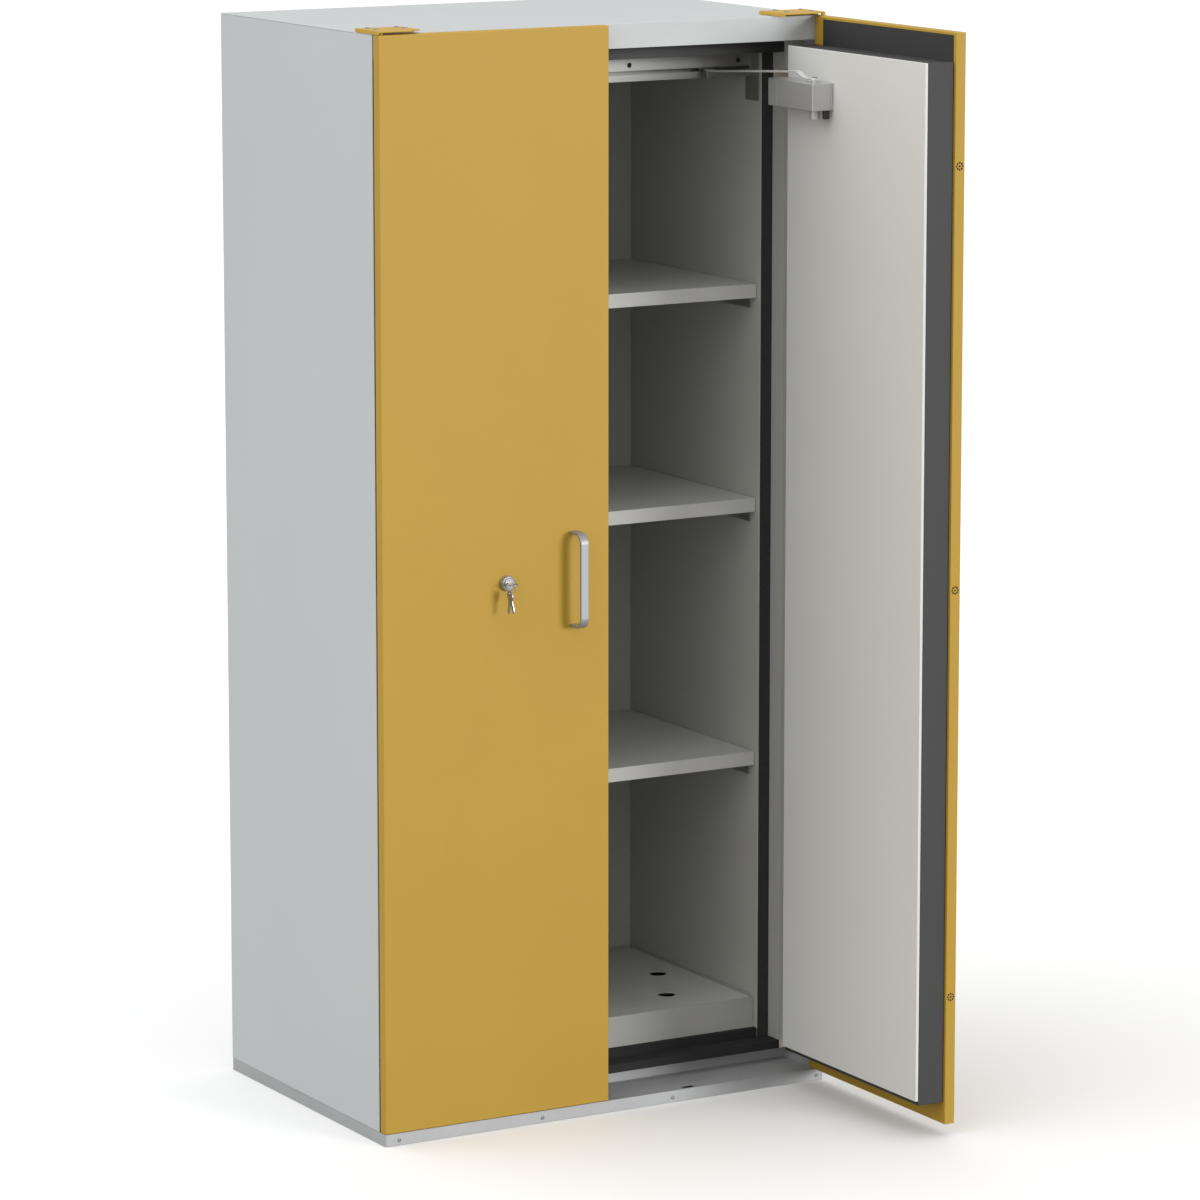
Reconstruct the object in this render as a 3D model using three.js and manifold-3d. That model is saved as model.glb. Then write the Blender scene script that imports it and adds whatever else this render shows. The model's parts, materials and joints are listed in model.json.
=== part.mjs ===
// Flammable storage cabinet: two insulated swing doors, shelves, sump tray and door closers.
// Millimetres. Origin: centre of the base underside. +X right, +Y back, +Z up; the doors face -Y.
import * as THREE from 'three';
import Module from 'manifold-3d';
import { mergeVertices } from 'three/addons/utils/BufferGeometryUtils.js';

const wasm = await Module();
wasm.setup();

// ---------- driving dimensions ----------
const WIDTH = 900;
const DEPTH = 600;
const HEIGHT = 1935;
const HALF_W = WIDTH / 2;
const HALF_D = DEPTH / 2;
const GAP = 0.3; // air left between pieces that touch

// base
const PLINTH_TOP = 16;
const TRIM_TOP = 21.5;
const TRIM_WALL = 2.7;
const SHEET = 1.5; // body sheet metal
const SKIN = 2; // side skins
const RISER_Y = -186; // upright fold of the sill plate, under the sill board
const SILL_RAIL_X = 438; // inner face of the sill plate's side folds
const SILL_PLATE = 2; // sill plate sheet
const SILL_SLOT = { x: [164, 188], y: [-285, -271], corner: 2.8 };
const SILL_HOLE = { at: [120, -281], radius: 2.5 };

// carcass
const SKIN_FRONT = -276.6; // front edge of the outer skins and fascia
const JAMB_FRONT = -217.5; // front face of the insulated carcass behind the doors
const JAMB_X = 408; // half width between the jambs
const REBATE_Y = -176; // back of the door rebate, carries the seals
const INNER_X = 383; // half width of the storage space
const INNER_BACK = 278.5;
const CEILING = 1867;
const FLOOR = 77;
const SILL_BOTTOM = 44.3;
const SILL_TOP = 59.4;
const FASCIA_BOTTOM = 1892;
const CLOSER_NOTCH = [1774, 1836]; // height range of the recess that takes the closed closer
const SEAL_THICK = 1.5;
const LINER_REACH = 2.2; // how far the liner and the jamb's reveal overlap round the rebate
const FASCIA_RETURN = 14;
const BOARD_STEP = 1; // overlap that joins the two halves of a stepped board

// doors, stated in the closed position
const DOOR_FRONT = -300.4;
const DOOR_BACK = -280;
const DOOR_BOTTOM = 22;
const DOOR_HALF_GAP = 1;
const DOOR_EDGE = 449.5;
const DOOR_SHEET = 1.5;
const HINGE_MARGIN = 26; // painted return flange along the hinge side
const FOOT_MARGIN = 40; // painted return flange along the bottom
const BLOCK_FACE = -221.9; // storage side of the insulated block
const BLOCK_EDGE = 446;
const BLOCK_TOP = 1884.5;
const BLOCK_BOTTOM = 62;
const PANEL_THICK = 5.5;
const PANEL_BOTTOM = 70;
const BLOCK_INSET = 6.6; // lets each block's free corner swing clear of the other door
const PIVOT_X = 441.2;
const PIVOT_Y = -291.5;
const PIN_R = 4;
const PIN_CLEARANCE = 0.4;
const PIN_COLLAR = 5.4;
const PIN_TOP = 42;
const PAN_LIP = 7; // return flange on the free side
const PAN_TOP_LIP = 5;
const BOLT_HOLE = { reach: 4, y: [-292, -284], half: 8 };
const BOLT_POCKET = { reach: 22, half: 9 }; // hollow in the right infill behind the bolt hole
const RIGHT_DOOR_OPEN = 90; // degrees open at rest

// door closers, stated in the closed position
const CLOSER_X = [296, 443.5];
const CLOSER_Y = [-221.6, -179];
const CLOSER_Z = [1782, 1829.7];
const CLOSER_CORNER = 2.5;
const SPINDLE = [317.7, -197.3];
const STUB_RADIUS = 9;
const STUB_DROP = 16.5;
const POST_X = [297, 303.5];
const POST_Y = [-215, -204];
const POST_DROP = 15;
const TRACK_Y = -165; // line that the slider pin runs on
const ARM_REACH = 258.31; // spindle axis to slider pin
const ARM_TIP_Z = 1835.7;
const ARM_HIGH_Z = 1846.5;
const ARM_ROOT_Z = 1835.2;
const ARM_THICK = 3;
const ARM_WIDTH = 16;
const RAIL_Y = [-150, -128];
const RAIL_Z = [1821, 1861];
const RAIL_SLOT_Z = [1833, 1839.5];
const RAIL_WALL = 2;
const RAIL_END = 2.3; // air between rail end and liner
const RAIL_SLOT_X = 376;
const RAIL_HOLES = { x: [-352, -128, 128, 352], z: 1850, radius: 4.5 };
const BRACKET_Y = [-173, -128];
const BRACKET_Z = [1777, 1862];
const ARM_BOSS = 10.5;
const ARM_SHAFT = 6.5;
const SLIDER_HALF = 8;
const NECK_HALF = 5;
const SHOE_HALF = 9;
const SLIDER_Z = 1822;
const SHOE_Y = [-147.2, -131];
const SHOE_Z = [1826, 1854];
const SLIDER_PIN = 2.6;

// fittings
const SHELF_TOPS = [592.4, 1059.5, 1448.5];
const SHELF_LIP = 25;
const SHELF_FRONT = -168;
const SHELF_BACK = 275;
const SHELF_X = 381.5;
const REST_X = 366;
const REST_Y = [-150, 260];
const REST_SHEET = 2;
const REST_DROP = 20;
const TRAY_X = 381.3;
const TRAY_FRONT_TOP = 134;
const TRAY_RIM_TOP = 137;
const TRAY_CORNER = 8; // radius of the tray front's upper corners
const TRAY_NOTCH = 12; // depth of the front stretch that is lower than the rim
const COVER_TOP = 132.6;
const COVER_LIP = 20; // underside of the cover's skirt above the tray's underside
const COVER_MARGIN = 0.5;
const COVER_BACK_MARGIN = 6;
const COVER_LEG = { y: [-120, 220], height: 30 };
const FINGER_HOLES = { radius: 16, places: [[320.7, 70.8], [254.7, -71.7]] };

// handles
const HANDLE_X = 72;
const HANDLE_Z = 973;
const HANDLE_LENGTH = 170;
const HANDLE_WIDTH = 16;
const HANDLE_STRAP = 5;
const HANDLE_STANDOFF = 40;
const HANDLE_BEND = 20;

// lock and keys
const LOCK_X = -206;
const LOCK_Z = 977;
const KEY_BOW = 9.5; // bow radius
const KEY_THICK = 2;
const KEY_HOLE = 5.8; // bow centre to hole centre
const KEY_HOLE_RADIUS = 2.8;
const KEY_END = 30; // bow centre to blade tip
const KEY_TIP = 4; // length of the pointed tip
const KEY_INSERTED = 24; // bow centre to the end that reaches into the plug
const KEY_OUT = 13; // rosette front to bow centre
const KEY_BLADE = 3.6; // half width
const RING_RADIUS = 8;
const RING_WIRE = 0.75;
const RING_OFFSET = 7.2; // ring centre left of the hole
const RING_DROP = 3.5; // ring centre below the hole
const KEY_SAG = 1.8; // spare key's hole centre below the wire it hangs on
const ROSETTE_RADIUS = 13.5;
const ROSETTE_DEPTH = 9;
const PLUG_RADIUS = 9;
const PLUG_HOLE = 9.3;
const PLUG_NOSE = 1.2; // how far the plug stands out of the rosette
const KEYWAY = [4.2, 1.5]; // half width and half height
const CASE_HALF = 30;
const CASE_WALL = 3;
const CASE_BACK = -284;
const CASE_CLEARANCE = 0.3;
const BOLT_Y = [-290.6, -285.6];
const BOLT_HALF = 7; // half height of the bolt
const BOLT_SLOT_Y = [-291, -285.2];
const BOLT_SLOT_HALF = 7.5;
const CAM = [5, 15]; // half width and reach
const CAM_Y = [-294.4, -291.6];

// hinge plates on the top: x ranges, then what both have alike
const HINGE_PLATES = [{ name: 'left', x: [-450, -362] }, { name: 'right', x: [356, 449] }];
const HINGE_PLATE_Y = [-300, -215];
const HINGE_PLATE_Z = [1939.5, 1941.5];
const HINGE_PLATE_CUT = [25, 15]; // cut front corner, along x and along y
const HINGE_FOLD = 1.6;
const HINGE_SPACER = { margin: 4, front: -270 };
const HINGE_PIN_DEPTH = 24; // below the top skin

// ---------- finishes ----------
const finish = (color, roughness, metalness) =>
  new THREE.MeshStandardMaterial({ color, roughness, metalness });
const FINISHES = {
  bodyGrey: () => finish(0xb9bdbd, 0.55, 0.1),
  doorYellow: () => finish(0xc8a045, 0.5, 0.1),
  linerGrey: () => finish(0x9a9a95, 0.5, 0.1),
  panelGrey: () => finish(0xb4b4ae, 0.5, 0.1),
  boardBlack: () => finish(0x37383a, 0.7, 0.0),
  core: () => finish(0xc9c2b2, 0.9, 0.0),
  seal: () => finish(0x232325, 0.8, 0.0),
  steel: () => finish(0xb7babc, 0.35, 0.9),
  aluminium: () => finish(0xb9bdc2, 0.3, 0.9),
  wood: () => finish(0x8a7a62, 0.8, 0.0),
};

// ---------- helpers ----------
const toSolid = (geometry) => {
  const bare = geometry.clone();
  bare.deleteAttribute('normal');
  bare.deleteAttribute('uv');
  const merged = mergeVertices(bare, 1e-4);
  return new wasm.Manifold(new wasm.Mesh({
    numProp: 3,
    vertProperties: new Float32Array(merged.attributes.position.array),
    triVerts: new Uint32Array(merged.index.array),
  }));
};

const toGeometry = (solid) => {
  const mesh = solid.getMesh();
  const geometry = new THREE.BufferGeometry();
  geometry.setAttribute('position', new THREE.BufferAttribute(new Float32Array(mesh.vertProperties), 3));
  geometry.setIndex(new THREE.BufferAttribute(new Uint32Array(mesh.triVerts), 1));
  return geometry;
};

// axis-aligned block between two corners
const block = ([x0, x1], [y0, y1], [z0, z1]) => {
  const geometry = new THREE.BoxGeometry(x1 - x0, y1 - y0, z1 - z0);
  geometry.translate((x0 + x1) / 2, (y0 + y1) / 2, (z0 + z1) / 2);
  return toSolid(geometry);
};

// round bar along an axis, centred on `at`, from `low` to `high` on that axis
const bar = (axis, radius, at, [low, high], sides = 24) => {
  const geometry = new THREE.CylinderGeometry(radius, radius, high - low, sides);
  const mid = (low + high) / 2;
  if (axis === 'x') {
    geometry.rotateZ(Math.PI / 2);
    geometry.translate(mid, at[0], at[1]);
  } else if (axis === 'z') {
    geometry.rotateX(Math.PI / 2);
    geometry.translate(at[0], at[1], mid);
  } else {
    geometry.translate(at[0], mid, at[1]);
  }
  return toSolid(geometry);
};

// flat outline in plan (x, y), raised from z0 to z1
const raised = (outline, [z0, z1], holes = []) => {
  const shape = outline instanceof THREE.Shape ? outline : new THREE.Shape(outline);
  shape.holes = holes;
  const options = { depth: z1 - z0, bevelEnabled: false, curveSegments: 8 };
  const geometry = new THREE.ExtrudeGeometry(shape, options);
  geometry.translate(0, 0, z0);
  return toSolid(geometry);
};

// outline in the (y, z) plane, swept along x from x0 to x1
const sweptX = (outline, [x0, x1], curveSegments = 8) => {
  const shape = outline instanceof THREE.Shape ? outline : new THREE.Shape(outline);
  const geometry = new THREE.ExtrudeGeometry(shape, { depth: x1 - x0, bevelEnabled: false, curveSegments });
  geometry.applyMatrix4(new THREE.Matrix4().makeBasis(
    new THREE.Vector3(0, 1, 0), new THREE.Vector3(0, 0, 1), new THREE.Vector3(1, 0, 0)));
  geometry.translate(x0, 0, 0);
  return toSolid(geometry);
};

const point = (a, b) => new THREE.Vector2(a, b);

const roundedRectangle = (x0, x1, y0, y1, radius) => {
  const shape = new THREE.Shape();
  shape.moveTo(x0 + radius, y0);
  shape.lineTo(x1 - radius, y0);
  shape.absarc(x1 - radius, y0 + radius, radius, -Math.PI / 2, 0, false);
  shape.lineTo(x1, y1 - radius);
  shape.absarc(x1 - radius, y1 - radius, radius, 0, Math.PI / 2, false);
  shape.lineTo(x0 + radius, y1);
  shape.absarc(x0 + radius, y1 - radius, radius, Math.PI / 2, Math.PI, false);
  shape.lineTo(x0, y0 + radius);
  shape.absarc(x0 + radius, y0 + radius, radius, Math.PI, 1.5 * Math.PI, false);
  return shape;
};

const cabinet = new THREE.Group();

const addPiece = (name, solid, material, parent = cabinet) => {
  const mesh = new THREE.Mesh(toGeometry(solid), FINISHES[material]());
  mesh.name = name;
  parent.add(mesh);
};

const SIDES = [{ name: 'left', sign: -1 }, { name: 'right', sign: 1 }];
// an x range given for the right side, turned round for the left one
const sided = (sign, [a, b]) => (sign > 0 ? [a, b] : [-b, -a]);
const mirrored = (outline, sign) => outline.map((p) => point(sign * p.x, p.y));

// ---------- base ----------
const buildBase = () => {
  const inner = TRIM_WALL + GAP;
  const plinthX = [-HALF_W + inner, HALF_W - inner];
  addPiece('plinth_board', block(plinthX, [-HALF_D + inner, HALF_D - inner], [0, PLINTH_TOP])
    .add(block(plinthX, [RISER_Y + SILL_PLATE + GAP, HALF_D - inner],
      [PLINTH_TOP - 1, SILL_BOTTOM - GAP])), 'wood');

  const trimHole = roundedRectangle(
    -HALF_W + TRIM_WALL, HALF_W - TRIM_WALL, -HALF_D + TRIM_WALL, HALF_D - TRIM_WALL, 1);
  addPiece('base_trim', raised(
    roundedRectangle(-HALF_W, HALF_W, -HALF_D, HALF_D, 3), [0, TRIM_TOP], [trimHole]), 'steel');

  // sill plate: flat sheet with an upright fold at the back and one at each end
  const plateX = HALF_W - inner;
  const plateZ = [PLINTH_TOP + GAP, PLINTH_TOP + GAP + SILL_PLATE];
  const foldZ = [plateZ[0], SILL_BOTTOM - GAP];
  let plate = block([-plateX, plateX], [-HALF_D + inner, RISER_Y + SILL_PLATE], plateZ);
  plate = plate.add(block([-plateX, plateX], [RISER_Y, RISER_Y + SILL_PLATE], foldZ));
  for (const { sign } of SIDES) {
    plate = plate.add(block(
      sided(sign, [SILL_RAIL_X, SILL_RAIL_X + SILL_PLATE]), [SKIN_FRONT, RISER_Y + SILL_PLATE / 2], foldZ));
  }
  const through = [PLINTH_TOP, TRIM_TOP];
  const slot = raised(roundedRectangle(...SILL_SLOT.x, ...SILL_SLOT.y, SILL_SLOT.corner), through);
  plate = plate.subtract(slot).subtract(bar('z', SILL_HOLE.radius, SILL_HOLE.at, through));
  addPiece('sill_plate', plate, 'steel');

  for (const { name, sign } of SIDES) {
    const at = [sign * PIVOT_X, PIVOT_Y];
    const collar = bar('z', PIN_COLLAR, at, [plateZ[1] + GAP, DOOR_BOTTOM - PIN_CLEARANCE]);
    const pin = bar('z', PIN_R, at, [plateZ[1] + 1, PIN_TOP]);
    addPiece(`lower_hinge_pin_${name}`, collar.add(pin), 'steel');
  }
};

// ---------- insulated carcass ----------
const buildCarcass = () => {
  const coreX = HALF_W - SKIN - GAP;
  const coreBack = HALF_D - SHEET - GAP;
  const linerX = INNER_X + 2;
  const linerBack = INNER_BACK + SHEET;
  const topUnder = HEIGHT - SHEET - GAP;

  const boardX = linerX - GAP;
  // floor and ceiling boards, each stepped at the front to meet the door rebate
  const floorZ = [SILL_BOTTOM, FLOOR - GAP];
  addPiece('floor_board', block([-boardX, boardX], [REBATE_Y - BOARD_STEP, linerBack], floorZ)
    .subtract(block([-HALF_W, HALF_W], [JAMB_FRONT, REBATE_Y], [SILL_TOP, FLOOR]))
    .add(block([-JAMB_X, JAMB_X], [JAMB_FRONT + SHEET, REBATE_Y - GAP], [SILL_BOTTOM, SILL_TOP])),
  'boardBlack');
  const topZ = [CEILING + SHEET + GAP, topUnder];
  addPiece('top_board', block([-boardX, boardX], [REBATE_Y - BOARD_STEP, coreBack], topZ)
    .add(block([-JAMB_X, JAMB_X], [JAMB_FRONT + SHEET, REBATE_Y - GAP], [CEILING, topUnder])), 'boardBlack');
  addPiece('back_core', block(
    [-boardX, boardX], [linerBack + GAP, coreBack], [SILL_BOTTOM, CEILING + SHEET]), 'core');

  for (const { name, sign } of SIDES) {
    // insulated side wall with the jamb in front of the rebate
    const jambBack = JAMB_FRONT + SHEET + GAP;
    const side = mirrored([
      point(linerX + GAP, REBATE_Y), point(JAMB_X + SHEET + GAP, REBATE_Y),
      point(JAMB_X + SHEET + GAP, jambBack), point(coreX, jambBack),
      point(coreX, coreBack), point(linerX + GAP, coreBack)], sign);
    // recess for the closer of a closed door, through the jamb's reveal and front
    const notchX = sided(sign, [JAMB_X - 2 * SHEET, CLOSER_X[1] + 6 * GAP]);
    const notch = block(notchX, [JAMB_FRONT - 1, REBATE_Y], CLOSER_NOTCH);
    const wallZ = [SILL_BOTTOM, topUnder];
    addPiece(`side_core_${name}`, raised(side, wallZ).subtract(notch), 'core');

    // folded sheet that covers the jamb: reveal face and front face
    const jamb = mirrored([
      point(JAMB_X, REBATE_Y - LINER_REACH), point(JAMB_X, JAMB_FRONT), point(coreX, JAMB_FRONT),
      point(coreX, JAMB_FRONT + SHEET), point(JAMB_X + SHEET, JAMB_FRONT + SHEET),
      point(JAMB_X + SHEET, REBATE_Y - LINER_REACH)], sign);
    const boardEnd = block(
      sided(sign, [JAMB_X - 1, JAMB_X + GAP]), [JAMB_FRONT - 1, REBATE_Y], [CEILING - GAP, HEIGHT]);
    const cover = raised(jamb, [SILL_TOP + GAP, topUnder]).subtract(boardEnd).subtract(notch);
    addPiece(`jamb_cover_${name}`, cover, 'linerGrey');

    addPiece(`seal_strip_${name}`, block(
      sided(sign, [linerX + GAP, JAMB_X + SHEET]), [REBATE_Y - SEAL_THICK - GAP, REBATE_Y - GAP],
      [SILL_TOP + GAP, CEILING - GAP]), 'seal');

    addPiece(`side_liner_${name}`, block(
      sided(sign, [INNER_X, linerX]), [REBATE_Y - LINER_REACH, INNER_BACK - GAP], [FLOOR, CEILING - GAP]),
    'linerGrey');

    addPiece(`side_skin_${name}`, block(
      sided(sign, [HALF_W - SKIN, HALF_W]), [SKIN_FRONT, HALF_D], [TRIM_TOP + GAP, topUnder]), 'bodyGrey');
  }

  // one sheet lines the back wall and folds forward under the ceiling
  const innerX = [-INNER_X + GAP, INNER_X - GAP];
  addPiece('back_liner', block(innerX, [INNER_BACK, linerBack], [FLOOR, CEILING + SHEET])
    .add(block(innerX, [REBATE_Y, linerBack], [CEILING, CEILING + SHEET])), 'linerGrey');

  addPiece('back_skin', block(
    [-HALF_W + SKIN + GAP, HALF_W - SKIN - GAP], [HALF_D - SHEET, HALF_D], [TRIM_TOP + GAP, topUnder]),
  'bodyGrey');

  // top skin: flat top, fascia folded down over the doorway and a short return under it
  addPiece('top_skin', block([-HALF_W, HALF_W], [SKIN_FRONT, HALF_D], [HEIGHT - SHEET, HEIGHT])
    .add(block([-HALF_W + SKIN + GAP, HALF_W - SKIN - GAP], [SKIN_FRONT, SKIN_FRONT + SHEET],
      [FASCIA_BOTTOM, HEIGHT]))
    .add(block([-HALF_W + SKIN + GAP, HALF_W - SKIN - GAP], [SKIN_FRONT, SKIN_FRONT + FASCIA_RETURN],
      [FASCIA_BOTTOM, FASCIA_BOTTOM + SHEET])), 'bodyGrey');
};

// ---------- hinge plates on the top ----------
const buildHingePlates = () => {
  // both plates have the same hand: a side fold on the left, a cut corner at the front right
  const [front, back] = HINGE_PLATE_Y;
  const [under, top] = HINGE_PLATE_Z;
  const [cutX, cutY] = HINGE_PLATE_CUT;
  const { margin } = HINGE_SPACER;
  for (const { name, x } of HINGE_PLATES) {
    const [x0, x1] = x;
    const outline = [
      point(x0, front), point(x1 - cutX, front), point(x1, front + cutY), point(x1, back), point(x0, back)];
    const sign = name === 'left' ? -1 : 1;
    const spacer = block([x0 + margin, x1 - margin], [HINGE_SPACER.front, back], [HEIGHT + GAP, under + 0.5]);
    const fold = block([x0, x0 + HINGE_FOLD], HINGE_PLATE_Y, [HEIGHT + 2 * GAP, top]);
    const pin = bar('z', PIN_R, [sign * PIVOT_X, PIVOT_Y], [HEIGHT - HINGE_PIN_DEPTH, under + 0.5]);
    const plate = raised(outline, HINGE_PLATE_Z).add(spacer).add(fold).add(pin);
    addPiece(`hinge_plate_${name}`, plate, 'doorYellow');
  }
};

// ---------- shelves, tray ----------
const buildFittings = () => {
  SHELF_TOPS.forEach((top, index) => {
    const under = top - SHELF_LIP;
    const shell = block([-SHELF_X, SHELF_X], [SHELF_FRONT, SHELF_BACK], [under, top])
      .subtract(block([-SHELF_X + SHEET, SHELF_X - SHEET], [SHELF_FRONT + SHEET, SHELF_BACK - SHEET],
        [under - 1, top - SHEET]));
    addPiece(`shelf_${index + 1}`, shell, 'linerGrey');
    for (const { name, sign } of SIDES) {
      const legTop = under - GAP;
      const wall = INNER_X - GAP;
      const rest = block(sided(sign, [REST_X, wall]), REST_Y, [legTop - REST_SHEET, legTop])
        .add(block(sided(sign, [wall - REST_SHEET, wall]), REST_Y, [legTop - REST_DROP, legTop]));
      addPiece(`shelf_rest_${index + 1}_${name}`, rest, 'steel');
    }
  });

  const trayZ = FLOOR + GAP;
  const frontY = [SHELF_FRONT - 1, SHELF_FRONT + TRAY_NOTCH];
  let tray = block([-TRAY_X, TRAY_X], [SHELF_FRONT, SHELF_BACK], [trayZ, TRAY_RIM_TOP])
    .subtract(block([-TRAY_X + SHEET, TRAY_X - SHEET], [SHELF_FRONT + SHEET, SHELF_BACK - SHEET],
      [trayZ + SHEET, TRAY_RIM_TOP + 1]))
    .subtract(block([-HALF_W, HALF_W], frontY, [TRAY_FRONT_TOP, TRAY_RIM_TOP + 1]));
  // rounded upper corners on the front wall
  for (const { sign } of SIDES) {
    const cornerX = sided(sign, [TRAY_X - TRAY_CORNER, TRAY_X + 1]);
    const corner = block(cornerX, frontY, [TRAY_FRONT_TOP - TRAY_CORNER, TRAY_RIM_TOP])
      .subtract(bar('y', TRAY_CORNER, [sign * (TRAY_X - TRAY_CORNER), TRAY_FRONT_TOP - TRAY_CORNER],
        [frontY[0] - 1, frontY[1] + 1], 48));
    tray = tray.subtract(corner);
  }
  addPiece('sump_tray', tray, 'linerGrey');

  const coverX = TRAY_X - SHEET - COVER_MARGIN;
  const coverY = [SHELF_FRONT + SHEET + COVER_MARGIN, SHELF_BACK - SHEET - COVER_BACK_MARGIN];
  let cover = block([-coverX, coverX], coverY, [trayZ + COVER_LIP, COVER_TOP])
    .subtract(block([-coverX + SHEET, coverX - SHEET], [coverY[0] + SHEET, coverY[1] - SHEET],
      [trayZ, COVER_TOP - SHEET]));
  // legs at the ends stand on the tray's floor
  for (const { sign } of SIDES) {
    cover = cover.add(block(sided(sign, [coverX - SHEET, coverX]), COVER_LEG.y,
      [trayZ + SHEET + GAP, trayZ + COVER_LEG.height]));
    for (const [x, y] of FINGER_HOLES.places) {
      const through = [COVER_TOP - SHEET - 1, COVER_TOP + 1];
      cover = cover.subtract(bar('z', FINGER_HOLES.radius, [sign * x, y], through, 32));
    }
  }
  addPiece('tray_cover', cover, 'linerGrey');
};

// ---------- guide rail for both closers ----------
const buildRail = () => {
  const through = [RAIL_Y[0] - 1, RAIL_Y[0] + RAIL_WALL + 1]; // cuts the rail's front wall
  let rail = block([-INNER_X + RAIL_END, INNER_X - RAIL_END], RAIL_Y, RAIL_Z)
    .subtract(block([-INNER_X, INNER_X], [RAIL_Y[0] + RAIL_WALL, RAIL_Y[1] - RAIL_WALL],
      [RAIL_Z[0] + RAIL_WALL, RAIL_Z[1] - RAIL_WALL]))
    .subtract(block([-RAIL_SLOT_X, RAIL_SLOT_X], through, RAIL_SLOT_Z));
  for (const x of RAIL_HOLES.x) {
    rail = rail.subtract(bar('y', RAIL_HOLES.radius, [x, RAIL_HOLES.z], through));
  }
  addPiece('guide_rail', rail, 'steel');
  for (const { name, sign } of SIDES) {
    addPiece(`rail_bracket_${name}`, block(
      sided(sign, [INNER_X - 2, INNER_X - GAP]), BRACKET_Y, BRACKET_Z), 'steel');
  }
};

// ---------- doors ----------
const doorSpan = (sign, inset = 0) => sided(sign, [DOOR_HALF_GAP + inset, DOOR_EDGE]);

const buildDoorShell = (name, sign, door) => {
  const x = doorSpan(sign);
  const z = [DOOR_BOTTOM, HEIGHT];
  const inside = [x[0] + DOOR_SHEET, x[1] - DOOR_SHEET];
  const opening = sided(sign, [DOOR_HALF_GAP + PAN_LIP, DOOR_EDGE - HINGE_MARGIN]);
  const openingZ = [z[0] + FOOT_MARGIN, z[1] - PAN_TOP_LIP];
  let pan = block(x, [DOOR_FRONT, DOOR_BACK], z)
    .subtract(block(inside, [DOOR_FRONT + DOOR_SHEET, DOOR_BACK - DOOR_SHEET],
      [z[0] + DOOR_SHEET, z[1] - DOOR_SHEET]))
    .subtract(block(opening, [DOOR_BACK - 5, DOOR_BACK + 1], openingZ));
  const at = [sign * PIVOT_X, PIVOT_Y];
  for (const end of z) {
    pan = pan.subtract(bar('z', PIN_R + PIN_CLEARANCE, at, [end - 4, end + 4]));
  }
  const aroundLock = (half) => [LOCK_Z - half, LOCK_Z + half];
  pan = pan.subtract(block(sided(sign, [0, BOLT_HOLE.reach]), BOLT_HOLE.y, aroundLock(BOLT_HOLE.half)));

  const fill = sided(sign, [DOOR_HALF_GAP + PAN_LIP + GAP, DOOR_EDGE - HINGE_MARGIN - GAP]);
  let infill = block(fill, [DOOR_FRONT + DOOR_SHEET + GAP, DOOR_BACK],
    [openingZ[0] + GAP, openingZ[1] - GAP]);
  if (sign < 0) {
    const room = CASE_HALF + CASE_CLEARANCE;
    pan = pan.subtract(bar('y', PLUG_HOLE + 0.7, [LOCK_X, LOCK_Z], [DOOR_FRONT - 1, DOOR_FRONT + 4], 32));
    infill = infill
      .subtract(block([LOCK_X - room, LOCK_X + room], [DOOR_FRONT, CASE_BACK + 0.4], aroundLock(room)))
      .subtract(block([LOCK_X + 20, 0], BOLT_SLOT_Y, aroundLock(BOLT_SLOT_HALF)));
  } else {
    infill = infill.subtract(block([0, BOLT_POCKET.reach], BOLT_HOLE.y, aroundLock(BOLT_POCKET.half)));
  }
  addPiece(`door_pan_${name}`, pan, 'doorYellow', door);
  addPiece(`door_infill_${name}`, infill, 'boardBlack', door);

  const blockX = sided(sign, [BLOCK_INSET, BLOCK_EDGE]);
  addPiece(`door_block_${name}`, block(blockX, [DOOR_BACK + GAP, BLOCK_FACE - PANEL_THICK - GAP],
    [BLOCK_BOTTOM, BLOCK_TOP]), 'boardBlack', door);
  addPiece(`door_panel_${name}`, block(blockX, [BLOCK_FACE - PANEL_THICK, BLOCK_FACE],
    [PANEL_BOTTOM, BLOCK_TOP]), 'panelGrey', door);
};

// flat strap bent twice, screwed to the door front
const buildHandle = (name, sign, door) => {
  const foot = DOOR_FRONT - GAP;
  const face = foot - HANDLE_STANDOFF;
  const half = HANDLE_LENGTH / 2;
  const outer = HANDLE_BEND;
  const bend = HANDLE_BEND - HANDLE_STRAP;
  const shape = new THREE.Shape();
  shape.moveTo(foot, HANDLE_Z + half);
  shape.lineTo(face + outer, HANDLE_Z + half);
  shape.absarc(face + outer, HANDLE_Z + half - outer, outer, Math.PI / 2, Math.PI, false);
  shape.absarc(face + outer, HANDLE_Z - half + outer, outer, Math.PI, 1.5 * Math.PI, false);
  shape.lineTo(foot, HANDLE_Z - half);
  shape.lineTo(foot, HANDLE_Z - half + HANDLE_STRAP);
  shape.lineTo(face + outer, HANDLE_Z - half + HANDLE_STRAP);
  shape.absarc(face + outer, HANDLE_Z - half + outer, bend, 1.5 * Math.PI, Math.PI, true);
  shape.absarc(face + outer, HANDLE_Z + half - outer, bend, Math.PI, Math.PI / 2, true);
  shape.lineTo(foot, HANDLE_Z + half - HANDLE_STRAP);
  const x = sided(sign, [HANDLE_X - HANDLE_WIDTH / 2, HANDLE_X + HANDLE_WIDTH / 2]);
  addPiece(`handle_${name}`, sweptX(shape, x), 'aluminium', door);
};

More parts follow.
